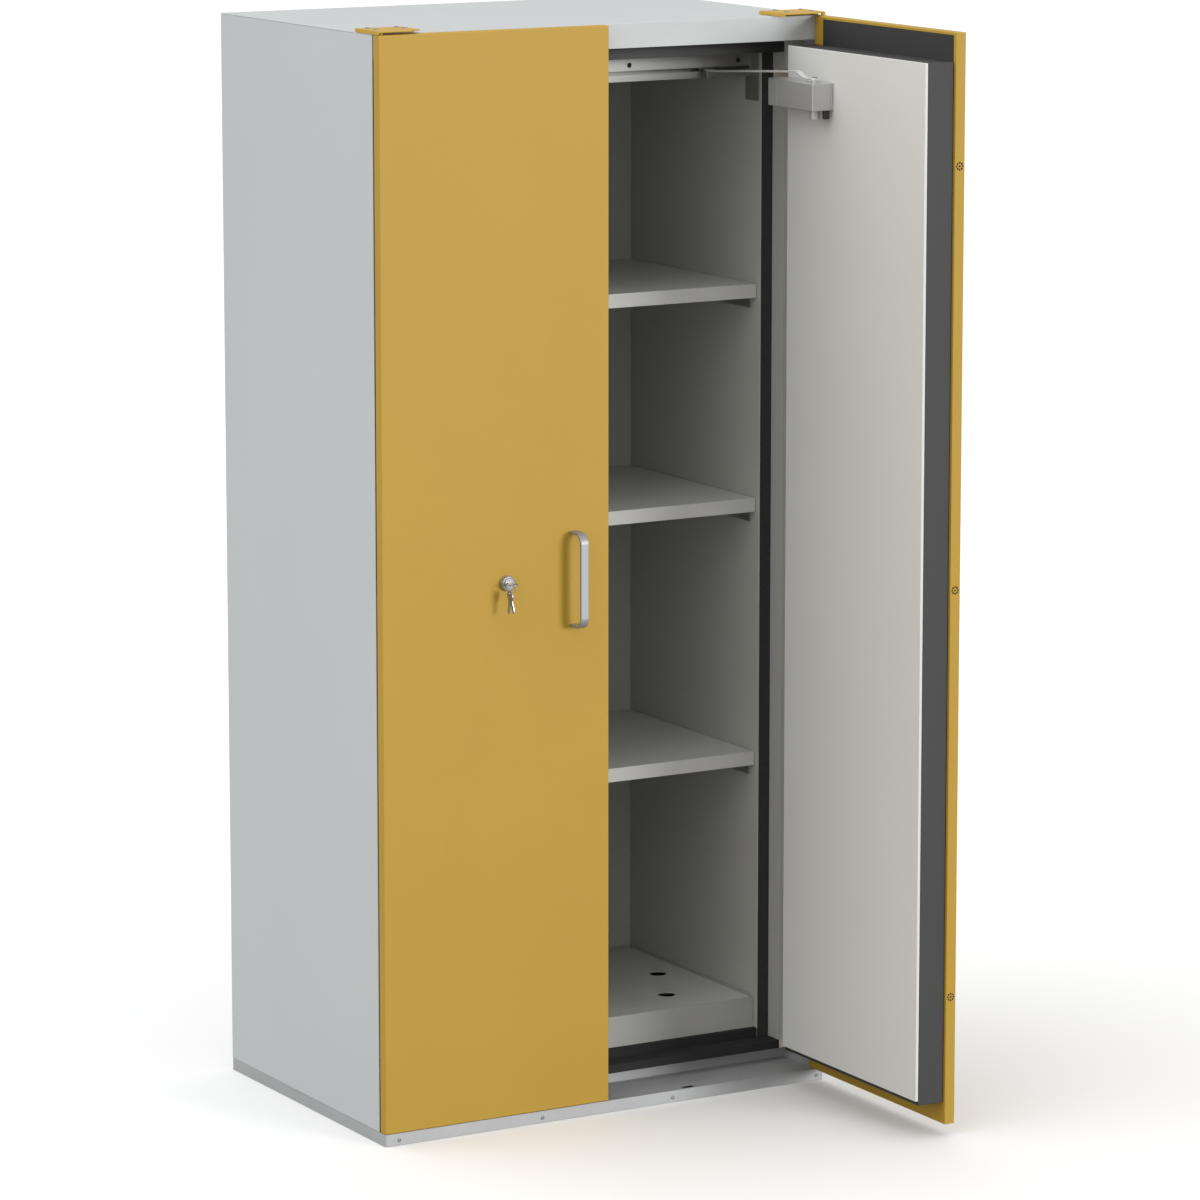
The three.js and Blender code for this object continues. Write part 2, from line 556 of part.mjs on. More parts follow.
// closer housing with the adjuster stub and the stop post under it
const buildCloserBody = (name, sign, door) => {
  const x = sided(sign, CLOSER_X);
  const housing = raised(roundedRectangle(...x, ...CLOSER_Y, CLOSER_CORNER), CLOSER_Z);
  const stubZ = [CLOSER_Z[0] - STUB_DROP, CLOSER_Z[0] + 2];
  const stub = bar('z', STUB_RADIUS, [sign * SPINDLE[0], SPINDLE[1]], stubZ, 28);
  const post = block(sided(sign, POST_X), POST_Y, [CLOSER_Z[0] - POST_DROP, CLOSER_Z[0] + 2]);
  addPiece(`closer_body_${name}`, housing.add(stub).add(post), 'aluminium', door);
};

// closer arm along +x of its own group, spindle axis at the group's origin
const buildArm = (name, arm) => {
  const h = ARM_THICK / 2;
  const half = ARM_WIDTH / 2;
  // the strap rises from the spindle in one cranked step and then slopes down to the tip
  const middle = [[0, ARM_ROOT_Z], [16, ARM_ROOT_Z], [24, ARM_ROOT_Z + 2], [36, ARM_HIGH_Z - 2],
    [44, ARM_HIGH_Z], [ARM_REACH - ARM_WIDTH, ARM_TIP_Z], [ARM_REACH, ARM_TIP_Z]];
  const upper = middle.map(([s, z]) => point(s, z + h));
  const lower = middle.map(([s, z]) => point(s, z - h)).reverse();
  const shape = new THREE.Shape(upper.concat(lower));
  const geometry = new THREE.ExtrudeGeometry(shape, { depth: ARM_WIDTH - 2, bevelEnabled: false });
  geometry.rotateX(Math.PI / 2);
  geometry.translate(0, half - 1, 0);
  const strap = toSolid(geometry)
    .add(bar('z', half - 1, [ARM_REACH, 0], [ARM_TIP_Z - h, ARM_TIP_Z + h]))
    .add(bar('z', ARM_BOSS, [0, 0], [ARM_ROOT_Z - h, ARM_ROOT_Z + h + 1], 28))
    .add(bar('z', ARM_SHAFT, [0, 0], [CLOSER_Z[1] + GAP, ARM_ROOT_Z]));
  addPiece(`closer_arm_${name}`, strap, 'steel', arm);
};

// slider: block under the arm tip, neck through the slot and shoe inside the rail
const buildSlider = (name, x) => {
  const around = (half) => [x - half, x + half];
  const front = RAIL_Y[0] - 1.5; // back of the piece in front of the rail
  const neckZ = [RAIL_SLOT_Z[0] + 0.6, RAIL_SLOT_Z[1] - 0.7];
  const slider = block(around(SLIDER_HALF), [TRACK_Y - 7, front], [SLIDER_Z, ARM_TIP_Z - ARM_THICK / 2 - GAP])
    .add(block(around(NECK_HALF), [front - 1.4, front + 0.5], [SLIDER_Z, neckZ[1] - 0.2]))
    .add(block(around(NECK_HALF), [front - 0.5, RAIL_Y[0] + 5], neckZ))
    .add(block(around(SHOE_HALF), SHOE_Y, SHOE_Z))
    .add(bar('z', SLIDER_PIN, [x, TRACK_Y], [SLIDER_Z - 4, SLIDER_Z + 2], 16));
  addPiece(`arm_slider_${name}`, slider, 'steel');
};

const armAngle = (from, to) => Math.atan2(to[1] - from[1], to[0] - from[0]);

const buildDoor = (name, sign, openDegrees) => {
  const pivot = [sign * PIVOT_X, PIVOT_Y];
  const turn = THREE.MathUtils.degToRad(openDegrees) * sign;
  const hung = new THREE.Group();
  hung.position.set(pivot[0], pivot[1], 0);
  hung.rotation.z = turn;
  const door = new THREE.Group();
  door.position.set(-pivot[0], -pivot[1], 0);
  hung.add(door);
  cabinet.add(hung);
  buildDoorShell(name, sign, door);
  buildHandle(name, sign, door);
  buildCloserBody(name, sign, door);

  // the spindle where this door stands, and the slider that its arm then reaches
  const away = [sign * SPINDLE[0] - pivot[0], SPINDLE[1] - pivot[1]];
  const spindle = [
    pivot[0] + away[0] * Math.cos(turn) - away[1] * Math.sin(turn),
    pivot[1] + away[0] * Math.sin(turn) + away[1] * Math.cos(turn)];
  const along = Math.sqrt(ARM_REACH ** 2 - (TRACK_Y - spindle[1]) ** 2);
  const tip = [spindle[0] - sign * along, TRACK_Y];
  const arm = new THREE.Group();
  arm.position.set(spindle[0], spindle[1], 0);
  arm.rotation.z = armAngle(spindle, tip);
  cabinet.add(arm);
  buildArm(name, arm);
  buildSlider(name, tip[0]);
  return door;
};

// ---------- lock and keys on the left door ----------
const flatKey = (thickness) => {
  // outline in (x, y): bow centred on the origin, blade along +y
  const shape = new THREE.Shape();
  const start = Math.asin(KEY_BLADE / KEY_BOW);
  shape.moveTo(KEY_BLADE, KEY_BOW * Math.cos(start));
  shape.lineTo(KEY_BLADE, KEY_END - KEY_TIP);
  shape.lineTo(0, KEY_END);
  shape.lineTo(-KEY_BLADE, KEY_END - KEY_TIP);
  shape.lineTo(-KEY_BLADE, KEY_BOW * Math.cos(start));
  shape.absarc(0, 0, KEY_BOW, Math.PI / 2 + start, Math.PI / 2 - start + 2 * Math.PI, false);
  const hole = new THREE.Path();
  hole.absarc(0, -KEY_HOLE, KEY_HOLE_RADIUS, 0, 2 * Math.PI, true);
  return raised(shape, [-thickness / 2, thickness / 2], [hole]);
};

const buildLock = (door) => {
  const rosetteFront = DOOR_FRONT - ROSETTE_DEPTH;
  const at = [LOCK_X, LOCK_Z];
  addPiece('lock_rosette', bar('y', ROSETTE_RADIUS, at, [rosetteFront, DOOR_FRONT - GAP], 40)
    .subtract(bar('y', PLUG_HOLE, at, [rosetteFront - 1, DOOR_FRONT + 1], 32)), 'aluminium', door);

  // around the lock centre, from its middle out to `half` each way
  const square = (half, y) => block([LOCK_X - half, LOCK_X + half], y, [LOCK_Z - half, LOCK_Z + half]);
  const caseFront = DOOR_FRONT + DOOR_SHEET + GAP;
  addPiece('lock_case', square(CASE_HALF, [caseFront, CASE_BACK])
    .subtract(square(CASE_HALF - CASE_WALL, [caseFront + CASE_WALL - 0.4, CASE_BACK + 1]))
    .subtract(bar('y', PLUG_HOLE, at, [DOOR_FRONT, caseFront + CASE_WALL + 1], 32))
    .subtract(block([LOCK_X + CASE_HALF - 10, LOCK_X + CASE_HALF + 1], BOLT_SLOT_Y,
      [LOCK_Z - BOLT_SLOT_HALF, LOCK_Z + BOLT_SLOT_HALF])), 'steel', door);

  // plug with keyway and cam blade
  const plug = bar('y', PLUG_RADIUS, at, [rosetteFront - PLUG_NOSE, CAM_Y[1]], 32)
    .add(block([LOCK_X - CAM[0], LOCK_X + CAM[0]], CAM_Y, [LOCK_Z, LOCK_Z + CAM[1]]))
    .subtract(block([LOCK_X - KEYWAY[0], LOCK_X + KEYWAY[0]], [rosetteFront - 3, rosetteFront + 14],
      [LOCK_Z - KEYWAY[1], LOCK_Z + KEYWAY[1]]));
  addPiece('lock_plug', plug, 'aluminium', door);

  const bowY = rosetteFront - KEY_OUT; // bow centre, in front of the plug
  const key = flatKey(KEY_THICK).intersect(block([-20, 20], [-20, KEY_INSERTED], [-5, 5]));
  const keyGroup = new THREE.Group();
  keyGroup.position.set(LOCK_X, bowY, LOCK_Z);
  door.add(keyGroup);
  addPiece('key', key, 'steel', keyGroup);

  // ring through the bow's hole, hanging to the left of it
  const holeY = bowY - KEY_HOLE;
  const ring = new THREE.TorusGeometry(RING_RADIUS, RING_WIRE, 10, 40);
  ring.rotateX(Math.PI / 2);
  const ringGroup = new THREE.Group();
  ringGroup.position.set(LOCK_X - RING_OFFSET, holeY, LOCK_Z - RING_DROP);
  door.add(ringGroup);
  addPiece('key_ring', toSolid(ring), 'steel', ringGroup);

  // spare key hanging from the lowest point of the ring, its flat side across the door
  const spareGroup = new THREE.Group();
  const ringLow = LOCK_Z - RING_DROP - RING_RADIUS;
  spareGroup.position.set(LOCK_X - RING_OFFSET, holeY, ringLow - KEY_HOLE - KEY_SAG);
  spareGroup.rotation.z = Math.PI / 2;
  const upright = new THREE.Group();
  upright.rotation.x = -Math.PI / 2;
  spareGroup.add(upright);
  door.add(spareGroup);
  addPiece('spare_key', flatKey(KEY_THICK), 'steel', upright);

  addPiece('lock_bolt', block([LOCK_X + CAM[1] + 1, -2], BOLT_Y, [LOCK_Z - BOLT_HALF, LOCK_Z + BOLT_HALF]),
    'steel', door);
};

buildBase();
buildCarcass();
buildHingePlates();
buildFittings();
buildRail();
const leftDoor = buildDoor('left', -1, 0);
buildDoor('right', 1, RIGHT_DOOR_OPEN);
buildLock(leftDoor);

export default cabinet;
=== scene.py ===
"""Looks of an insulated two-door flammable storage cabinet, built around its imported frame.

Everything is in metres, in the row frame: origin at the centre of the base underside, +X right,
+Y back, +Z up. The doors face -Y; the right door stands open at 90 degrees at rest.
"""
import json
import logging
import math
from dataclasses import dataclass, field
from enum import Enum
from typing import Callable, Iterable, Optional, Sequence

import bmesh
import bpy
from mathutils import Matrix, Vector


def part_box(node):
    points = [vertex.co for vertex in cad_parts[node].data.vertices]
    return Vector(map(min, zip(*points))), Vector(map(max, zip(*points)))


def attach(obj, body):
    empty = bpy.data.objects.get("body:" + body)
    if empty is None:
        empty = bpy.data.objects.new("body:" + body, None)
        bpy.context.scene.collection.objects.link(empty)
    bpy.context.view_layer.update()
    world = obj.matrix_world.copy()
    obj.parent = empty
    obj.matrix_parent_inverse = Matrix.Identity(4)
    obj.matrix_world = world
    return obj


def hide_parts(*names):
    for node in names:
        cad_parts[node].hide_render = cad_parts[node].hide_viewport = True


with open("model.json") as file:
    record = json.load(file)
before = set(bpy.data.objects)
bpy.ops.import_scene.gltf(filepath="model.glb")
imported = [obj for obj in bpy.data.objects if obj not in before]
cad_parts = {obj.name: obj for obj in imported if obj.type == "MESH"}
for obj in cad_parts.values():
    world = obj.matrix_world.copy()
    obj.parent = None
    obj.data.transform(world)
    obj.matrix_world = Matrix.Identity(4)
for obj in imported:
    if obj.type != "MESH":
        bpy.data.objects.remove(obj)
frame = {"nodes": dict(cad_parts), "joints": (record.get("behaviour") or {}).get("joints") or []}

LOG = logging.getLogger("cabinet")
MM = 0.001
Point = Sequence[float]
Colour = tuple[float, float, float]


def srgb(red: int, green: int, blue: int) -> Colour:
    """Turns a display colour of 0 to 255 into the linear one that shaders use.

    Args:
        red: Display red.
        green: Display green.
        blue: Display blue.

    Returns:
        The linear colour.
    """
    def linear(value: float) -> float:
        share = value / 255
        return share / 12.92 if share <= 0.04045 else ((share + 0.055) / 1.055) ** 2.4
    return linear(red), linear(green), linear(blue)


# --------------------------------------------------------------------------- shader maths
class Socket:
    """One node output; arithmetic on it adds Math nodes to its tree."""

    def __init__(self, tree: bpy.types.NodeTree, output: bpy.types.NodeSocket) -> None:
        """Keeps the tree and the output that this value comes from."""
        self.tree = tree
        self.output = output

    def _math(self, operation: str, *values: "Socket | float", clamp: bool = False) -> "Socket":
        """Adds one Math node.

        Args:
            operation: The node's operation.
            values: Its inputs in order, as sockets or numbers.
            clamp: Whether the result is kept between 0 and 1.

        Returns:
            The node's result.
        """
        node = self.tree.nodes.new("ShaderNodeMath")
        node.operation = operation
        node.use_clamp = clamp
        for slot, value in zip(node.inputs, values):
            if isinstance(value, Socket):
                self.tree.links.new(value.output, slot)
            else:
                slot.default_value = value
        return Socket(self.tree, node.outputs[0])

    def __add__(self, other: "Socket | float") -> "Socket":
        """Sum."""
        return self._math("ADD", self, other)

    def __radd__(self, other: float) -> "Socket":
        """Sum with a number on the left."""
        return self._math("ADD", other, self)

    def __sub__(self, other: "Socket | float") -> "Socket":
        """Difference."""
        return self._math("SUBTRACT", self, other)

    def __rsub__(self, other: float) -> "Socket":
        """Difference with a number on the left."""
        return self._math("SUBTRACT", other, self)

    def __mul__(self, other: "Socket | float") -> "Socket":
        """Product."""
        return self._math("MULTIPLY", self, other)

    def __rmul__(self, other: float) -> "Socket":
        """Product with a number on the left."""
        return self._math("MULTIPLY", other, self)

    def __truediv__(self, other: "Socket | float") -> "Socket":
        """Quotient."""
        return self._math("DIVIDE", self, other)

    def positive(self) -> "Socket":
        """The value where it is above 0, and 0 elsewhere."""
        return self._math("MAXIMUM", self, 0.0)

    def ramp(self, low: float, high: float) -> "Socket":
        """Rises from 0 at low to 1 at high, and stays between them.

        Args:
            low: The value that gives 0.
            high: The value that gives 1.

        Returns:
            The clamped share.
        """
        return self._math("DIVIDE", self - low, high - low, clamp=True)


class NodeBench:
    """A node tree that nodes are added to."""

    def __init__(self, tree: bpy.types.NodeTree) -> None:
        """Keeps the tree."""
        self.tree = tree

    def node(self, kind: str, settings: Optional[dict] = None, inputs: Optional[dict] = None,
             output: str | int = 0) -> Socket:
        """Adds any node.

        Args:
            kind: The node's type name.
            settings: Attributes set on the node first.
            inputs: Values or sockets for its inputs, by name or place.
            output: The output that is wanted.

        Returns:
            That output.
        """
        made = self.tree.nodes.new(kind)
        for key, value in (settings or {}).items():
            setattr(made, key, value)
        for key, value in (inputs or {}).items():
            if isinstance(value, Socket):
                self.tree.links.new(value.output, made.inputs[key])
            else:
                made.inputs[key].default_value = value
        return Socket(self.tree, made.outputs[output]) if len(made.outputs) else Socket(self.tree, None)


class Shader(NodeBench):
    """A material's node tree with one principled surface."""

    def __init__(self, name: str, colour: Colour, roughness: float, metallic: float = 0.0) -> None:
        """Makes the material and sets what is the same all over its surface."""
        self.material = bpy.data.materials.new(name)
        self.material.use_nodes = True
        super().__init__(self.material.node_tree)
        self.surface = self.tree.nodes["Principled BSDF"]
        self.surface.inputs["Base Color"].default_value = (*colour, 1.0)
        self.surface.inputs["Roughness"].default_value = roughness
        self.surface.inputs["Metallic"].default_value = metallic

    def place(self, stretch: Point = (1, 1, 1)) -> Socket:
        """Position on the piece in metres, stretched along the axes."""
        where = self.node("ShaderNodeTexCoord", output="Object")
        return self.node("ShaderNodeMapping", {}, {"Vector": where, "Scale": tuple(stretch)})

    def noise(self, scale: float, detail: float = 2.0, stretch: Point = (1, 1, 1),
              roughness: float = 0.5) -> Socket:
        """Cloudy noise from 0 to 1.

        Args:
            scale: Lumps per metre.
            detail: Number of finer layers.
            stretch: Factors along the axes, for streaks.
            roughness: Weight of the finer layers.

        Returns:
            The noise value.
        """
        return self.node("ShaderNodeTexNoise", {}, {
            "Vector": self.place(stretch), "Scale": scale, "Detail": detail, "Roughness": roughness})

    def tint(self, mask: Socket, low: Colour, high: Colour) -> Socket:
        """Mixes two colours by a mask.

        Args:
            mask: 0 gives low and 1 gives high.
            low: First colour.
            high: Second colour.

        Returns:
            The mixed colour.
        """
        return self.node("ShaderNodeMix", {"data_type": "RGBA"}, {
            0: mask, 6: (*low, 1.0), 7: (*high, 1.0)}, output=2)

    def feed(self, name: str, value: Socket) -> None:
        """Links a value that changes over the surface to one input of the surface."""
        self.tree.links.new(value.output, self.surface.inputs[name])

    def bump(self, height: Socket, depth: float, strength: float = 1.0) -> None:
        """Raises the surface by a height that changes over it.

        Args:
            height: Height share, 0 to 1.
            depth: Full height in metres.
            strength: Share of the effect that shows.
        """
        self.feed("Normal", self.node("ShaderNodeBump", {}, {
            "Height": height, "Distance": depth, "Strength": strength}))

    def set(self, name: str, value: float) -> None:
        """Sets an input that is the same all over the surface."""
        self.surface.inputs[name].default_value = value


def shade(colour: Colour, factor: float) -> Colour:
    """A colour made lighter or darker by a factor."""
    return tuple(min(1.0, channel * factor) for channel in colour)


# --------------------------------------------------------------------------- finishes
@dataclass(frozen=True)
class PowderCoat:
    """Baked paint with fine orange peel, faint clouding and a painted highlight that lightens sharp edges."""

    name: str
    colour: Colour
    roughness: float = 0.45
    grain: float = 0.00006
    cloud: float = 0.05
    speckle: float = 0.06
    # Lightness factor of the painted highlight on sharp edges.
    painted_edge_highlight: float = 1.12

    def make(self) -> bpy.types.Material:
        """Builds the material."""
        shader = Shader(self.name, self.colour, self.roughness)
        shader.set("Specular IOR Level", 0.35)
        fine = shader.noise(1500, 2)
        clouds = shader.noise(3.2, 3)
        spots = shader.noise(420, 2, roughness=0.7)
        tone = clouds.ramp(0.3, 0.7) * self.cloud + spots.ramp(0.3, 0.7) * self.speckle
        # Painted highlight: sharp convex edges, found by pointiness, are mixed towards a lighter copy of the
        # paint colour.
        edge_highlight_mask = shader.node("ShaderNodeNewGeometry", output="Pointiness").ramp(0.53, 0.6)
        base = shader.tint(tone / (self.cloud + self.speckle),
                           shade(self.colour, 1 - (self.cloud + self.speckle) / 2),
                           shade(self.colour, 1 + (self.cloud + self.speckle) / 2))
        lit = shader.node("ShaderNodeMix", {"data_type": "RGBA"}, {
            0: edge_highlight_mask * 0.5, 6: base, 7: (*shade(self.colour, self.painted_edge_highlight), 1.0)}, output=2)
        shader.feed("Base Color", lit)
        shader.feed("Roughness", self.roughness + (clouds - 0.5) * 0.08 + (fine - 0.5) * 0.1)
        shader.bump(fine, self.grain, 0.6)
        return shader.material


@dataclass(frozen=True)
class BrushedMetal:
    """Bare metal with fine streaks along one axis."""

    name: str
    colour: Colour
    roughness: float = 0.32
    along: str = "x"
    streak: float = 0.12
    metallic: float = 1.0

    def make(self) -> bpy.types.Material:
        """Builds the material."""
        shader = Shader(self.name, self.colour, self.roughness, self.metallic)
        stretch = tuple(0.02 if axis == self.along else 1.0 for axis in "xyz")
        lines = shader.noise(1400, 3, stretch, 0.7)
        smudge = shader.noise(9, 3)
        tone = (lines.ramp(0.3, 0.7) + smudge.ramp(0.35, 0.75)) * 0.5
        shader.feed("Base Color", shader.tint(
            tone, shade(self.colour, 1 - self.streak), shade(self.colour, 1.06)))
        shader.feed("Roughness", self.roughness + (lines - 0.5) * 0.14 + (smudge - 0.5) * 0.12)
        shader.bump(lines, 0.00003, 0.5)
        return shader.material


@dataclass(frozen=True)
class SatinMetal:
    """Anodised, lacquered or plated metal with a soft even sheen."""

    name: str
    colour: Colour
    roughness: float = 0.3
    metallic: float = 1.0
    grain: float = 0.00002

    def make(self) -> bpy.types.Material:
        """Builds the material."""
        shader = Shader(self.name, self.colour, self.roughness, self.metallic)
        fine = shader.noise(2600, 2)
        smudge = shader.noise(28, 3)
        shader.feed("Base Color", shader.tint(
            smudge.ramp(0.3, 0.7), shade(self.colour, 0.95), shade(self.colour, 1.05)))
        shader.feed("Roughness", self.roughness + (smudge - 0.5) * 0.1 + (fine - 0.5) * 0.08)
        shader.bump(fine, self.grain, 0.5)
        return shader.material


@dataclass(frozen=True)
class Board:
    """Faced board: melamine, dark laminate or raw fire board."""

    name: str
    colour: Colour
    roughness: float = 0.5
    mottle: float = 0.08
    fibre: float = 0.0
    grain: float = 0.00008

    def make(self) -> bpy.types.Material:
        """Builds the material."""
        shader = Shader(self.name, self.colour, self.roughness)
        pearls = shader.noise(700, 3, roughness=0.65)
        clouds = shader.noise(2.4, 2)
        threads = shader.noise(160, 4, (0.15, 0.15, 1.0))
        tone = pearls.ramp(0.3, 0.7) * 0.6 + clouds.ramp(0.3, 0.7) * 0.4
        if self.fibre:
            tone = tone * (1 - self.fibre) + threads.ramp(0.35, 0.65) * self.fibre
        shader.feed("Base Color", shader.tint(
            tone, shade(self.colour, 1 - self.mottle), shade(self.colour, 1 + self.mottle)))
        shader.feed("Roughness", self.roughness + (pearls - 0.5) * 0.12 + (clouds - 0.5) * 0.06)
        shader.bump(pearls, self.grain, 0.6)
        return shader.material


@dataclass(frozen=True)
class SealRubber:
    """Matt black strip that swells in a fire."""

    name: str
    colour: Colour

    def make(self) -> bpy.types.Material:
        """Builds the material."""
        shader = Shader(self.name, self.colour, 0.8)
        dust = shader.noise(240, 4)
        pores = shader.noise(1900, 2)
        shader.feed("Base Color", shader.tint(
            dust.ramp(0.35, 0.75), shade(self.colour, 0.85), shade(self.colour, 1.35)))
        shader.feed("Roughness", 0.78 + (dust - 0.5) * 0.15)
        shader.bump(pores, 0.00012, 0.7)
        return shader.material


class Finish(Enum):
    """Every finish on the cabinet, named for what it covers."""

    BODY_GREY = PowderCoat("body_grey_paint", srgb(187, 190, 190), 0.5)
    DOOR_YELLOW = PowderCoat("door_yellow_paint", srgb(178, 142, 45), 0.48, painted_edge_highlight=1.3)
    SHELF_GREY = PowderCoat("shelf_grey_paint", srgb(196, 196, 192), 0.4)
    TRAY_GREY = PowderCoat("tray_grey_paint", srgb(168, 168, 165), 0.45)
    LINER_GREY = Board("liner_grey_laminate", srgb(184, 184, 178), 0.5, 0.05)
    PANEL_GREY = Board("panel_grey_laminate", srgb(213, 213, 209), 0.5, 0.03)
    BOARD_BLACK = Board("board_dark_laminate", srgb(52, 52, 52), 0.6, 0.08)
    # Painted shade: a darker, rougher copy of the black board laminate that darkens the lit floor board.
    LEDGE_PAINTED_SHADE = Board("ledge_laminate_painted_shade", srgb(34, 34, 34), 0.85, 0.08)
    INSULATION = Board("fire_board", srgb(214, 206, 190), 0.9, 0.1, 0.5, 0.0002)
    PLINTH = Board("plinth_board", srgb(150, 128, 98), 0.8, 0.12, 0.8, 0.0002)
    SEAL = SealRubber("seal_black", srgb(46, 46, 47))
    TRIM_STEEL = BrushedMetal("trim_brushed_steel", srgb(182, 183, 184), 0.6, metallic=0.4)
    RAIL_STEEL = BrushedMetal("rail_brushed_steel", srgb(150, 150, 148), 0.45, metallic=0.65)
    HANDLE = BrushedMetal("handle_brushed_aluminium", srgb(160, 161, 163), 0.5, "z", 0.07, 0.6)
    CLOSER = BrushedMetal("closer_silver_lacquer", srgb(196, 196, 194), 0.42, "z", 0.08, 0.55)
    NICKEL = SatinMetal("lock_nickel", srgb(158, 157, 156), 0.36, 0.75)
    ZINC = SatinMetal("zinc_plate", srgb(176, 178, 180), 0.35)
    # Painted shade: near-black filler set into holes, slots and dimples where there is only shade.
    HOLE_SHADE = SealRubber("hole_painted_shade", srgb(18, 18, 18))
    INFILL = Board("seal_board_black", srgb(40, 40, 41), 0.65, 0.1)
    ARM = SatinMetal("arm_bright_steel", srgb(228, 228, 227), 0.34, 0.6)
    SLIDE = SatinMetal("slide_dark_steel", srgb(120, 120, 119), 0.4, 0.5)
    SCREW = SatinMetal("screw_steel", srgb(128, 129, 131), 0.35, 0.8)


FINISHED: dict[Finish, bpy.types.Material] = {}


def coat(finish: Finish) -> bpy.types.Material:
    """The material of a finish, made the first time that it is asked for."""
    if finish not in FINISHED:
        FINISHED[finish] = finish.value.make()
    return FINISHED[finish]


# --------------------------------------------------------------------------- shop work
SHARP = math.radians(30)


def soften_edges(thing: bpy.types.Object, width: float, segments: int = 3) -> None:
    """Rounds a piece's sharp edges slightly, without changing its faces' places.

    Args:
        thing: The piece or CAD node.
        width: Edge radius in millimetres; 0 leaves the edges as they are.
        segments: Facets across an edge.
    """
    weld = thing.modifiers.new("weld", "WELD")
    weld.merge_threshold = 0.00001
    flat = thing.modifiers.new("flat", "DECIMATE")
    flat.decimate_type = "DISSOLVE"
    flat.angle_limit = math.radians(0.6)
    if width:
        edge = thing.modifiers.new("edge", "BEVEL")
        edge.width = width * MM
        edge.segments = segments
        edge.limit_method = "ANGLE"
        edge.angle_limit = SHARP
        edge.use_clamp_overlap = True
        even = thing.modifiers.new("even", "WEIGHTED_NORMAL")
        even.weight = 100
        even.keep_sharp = True


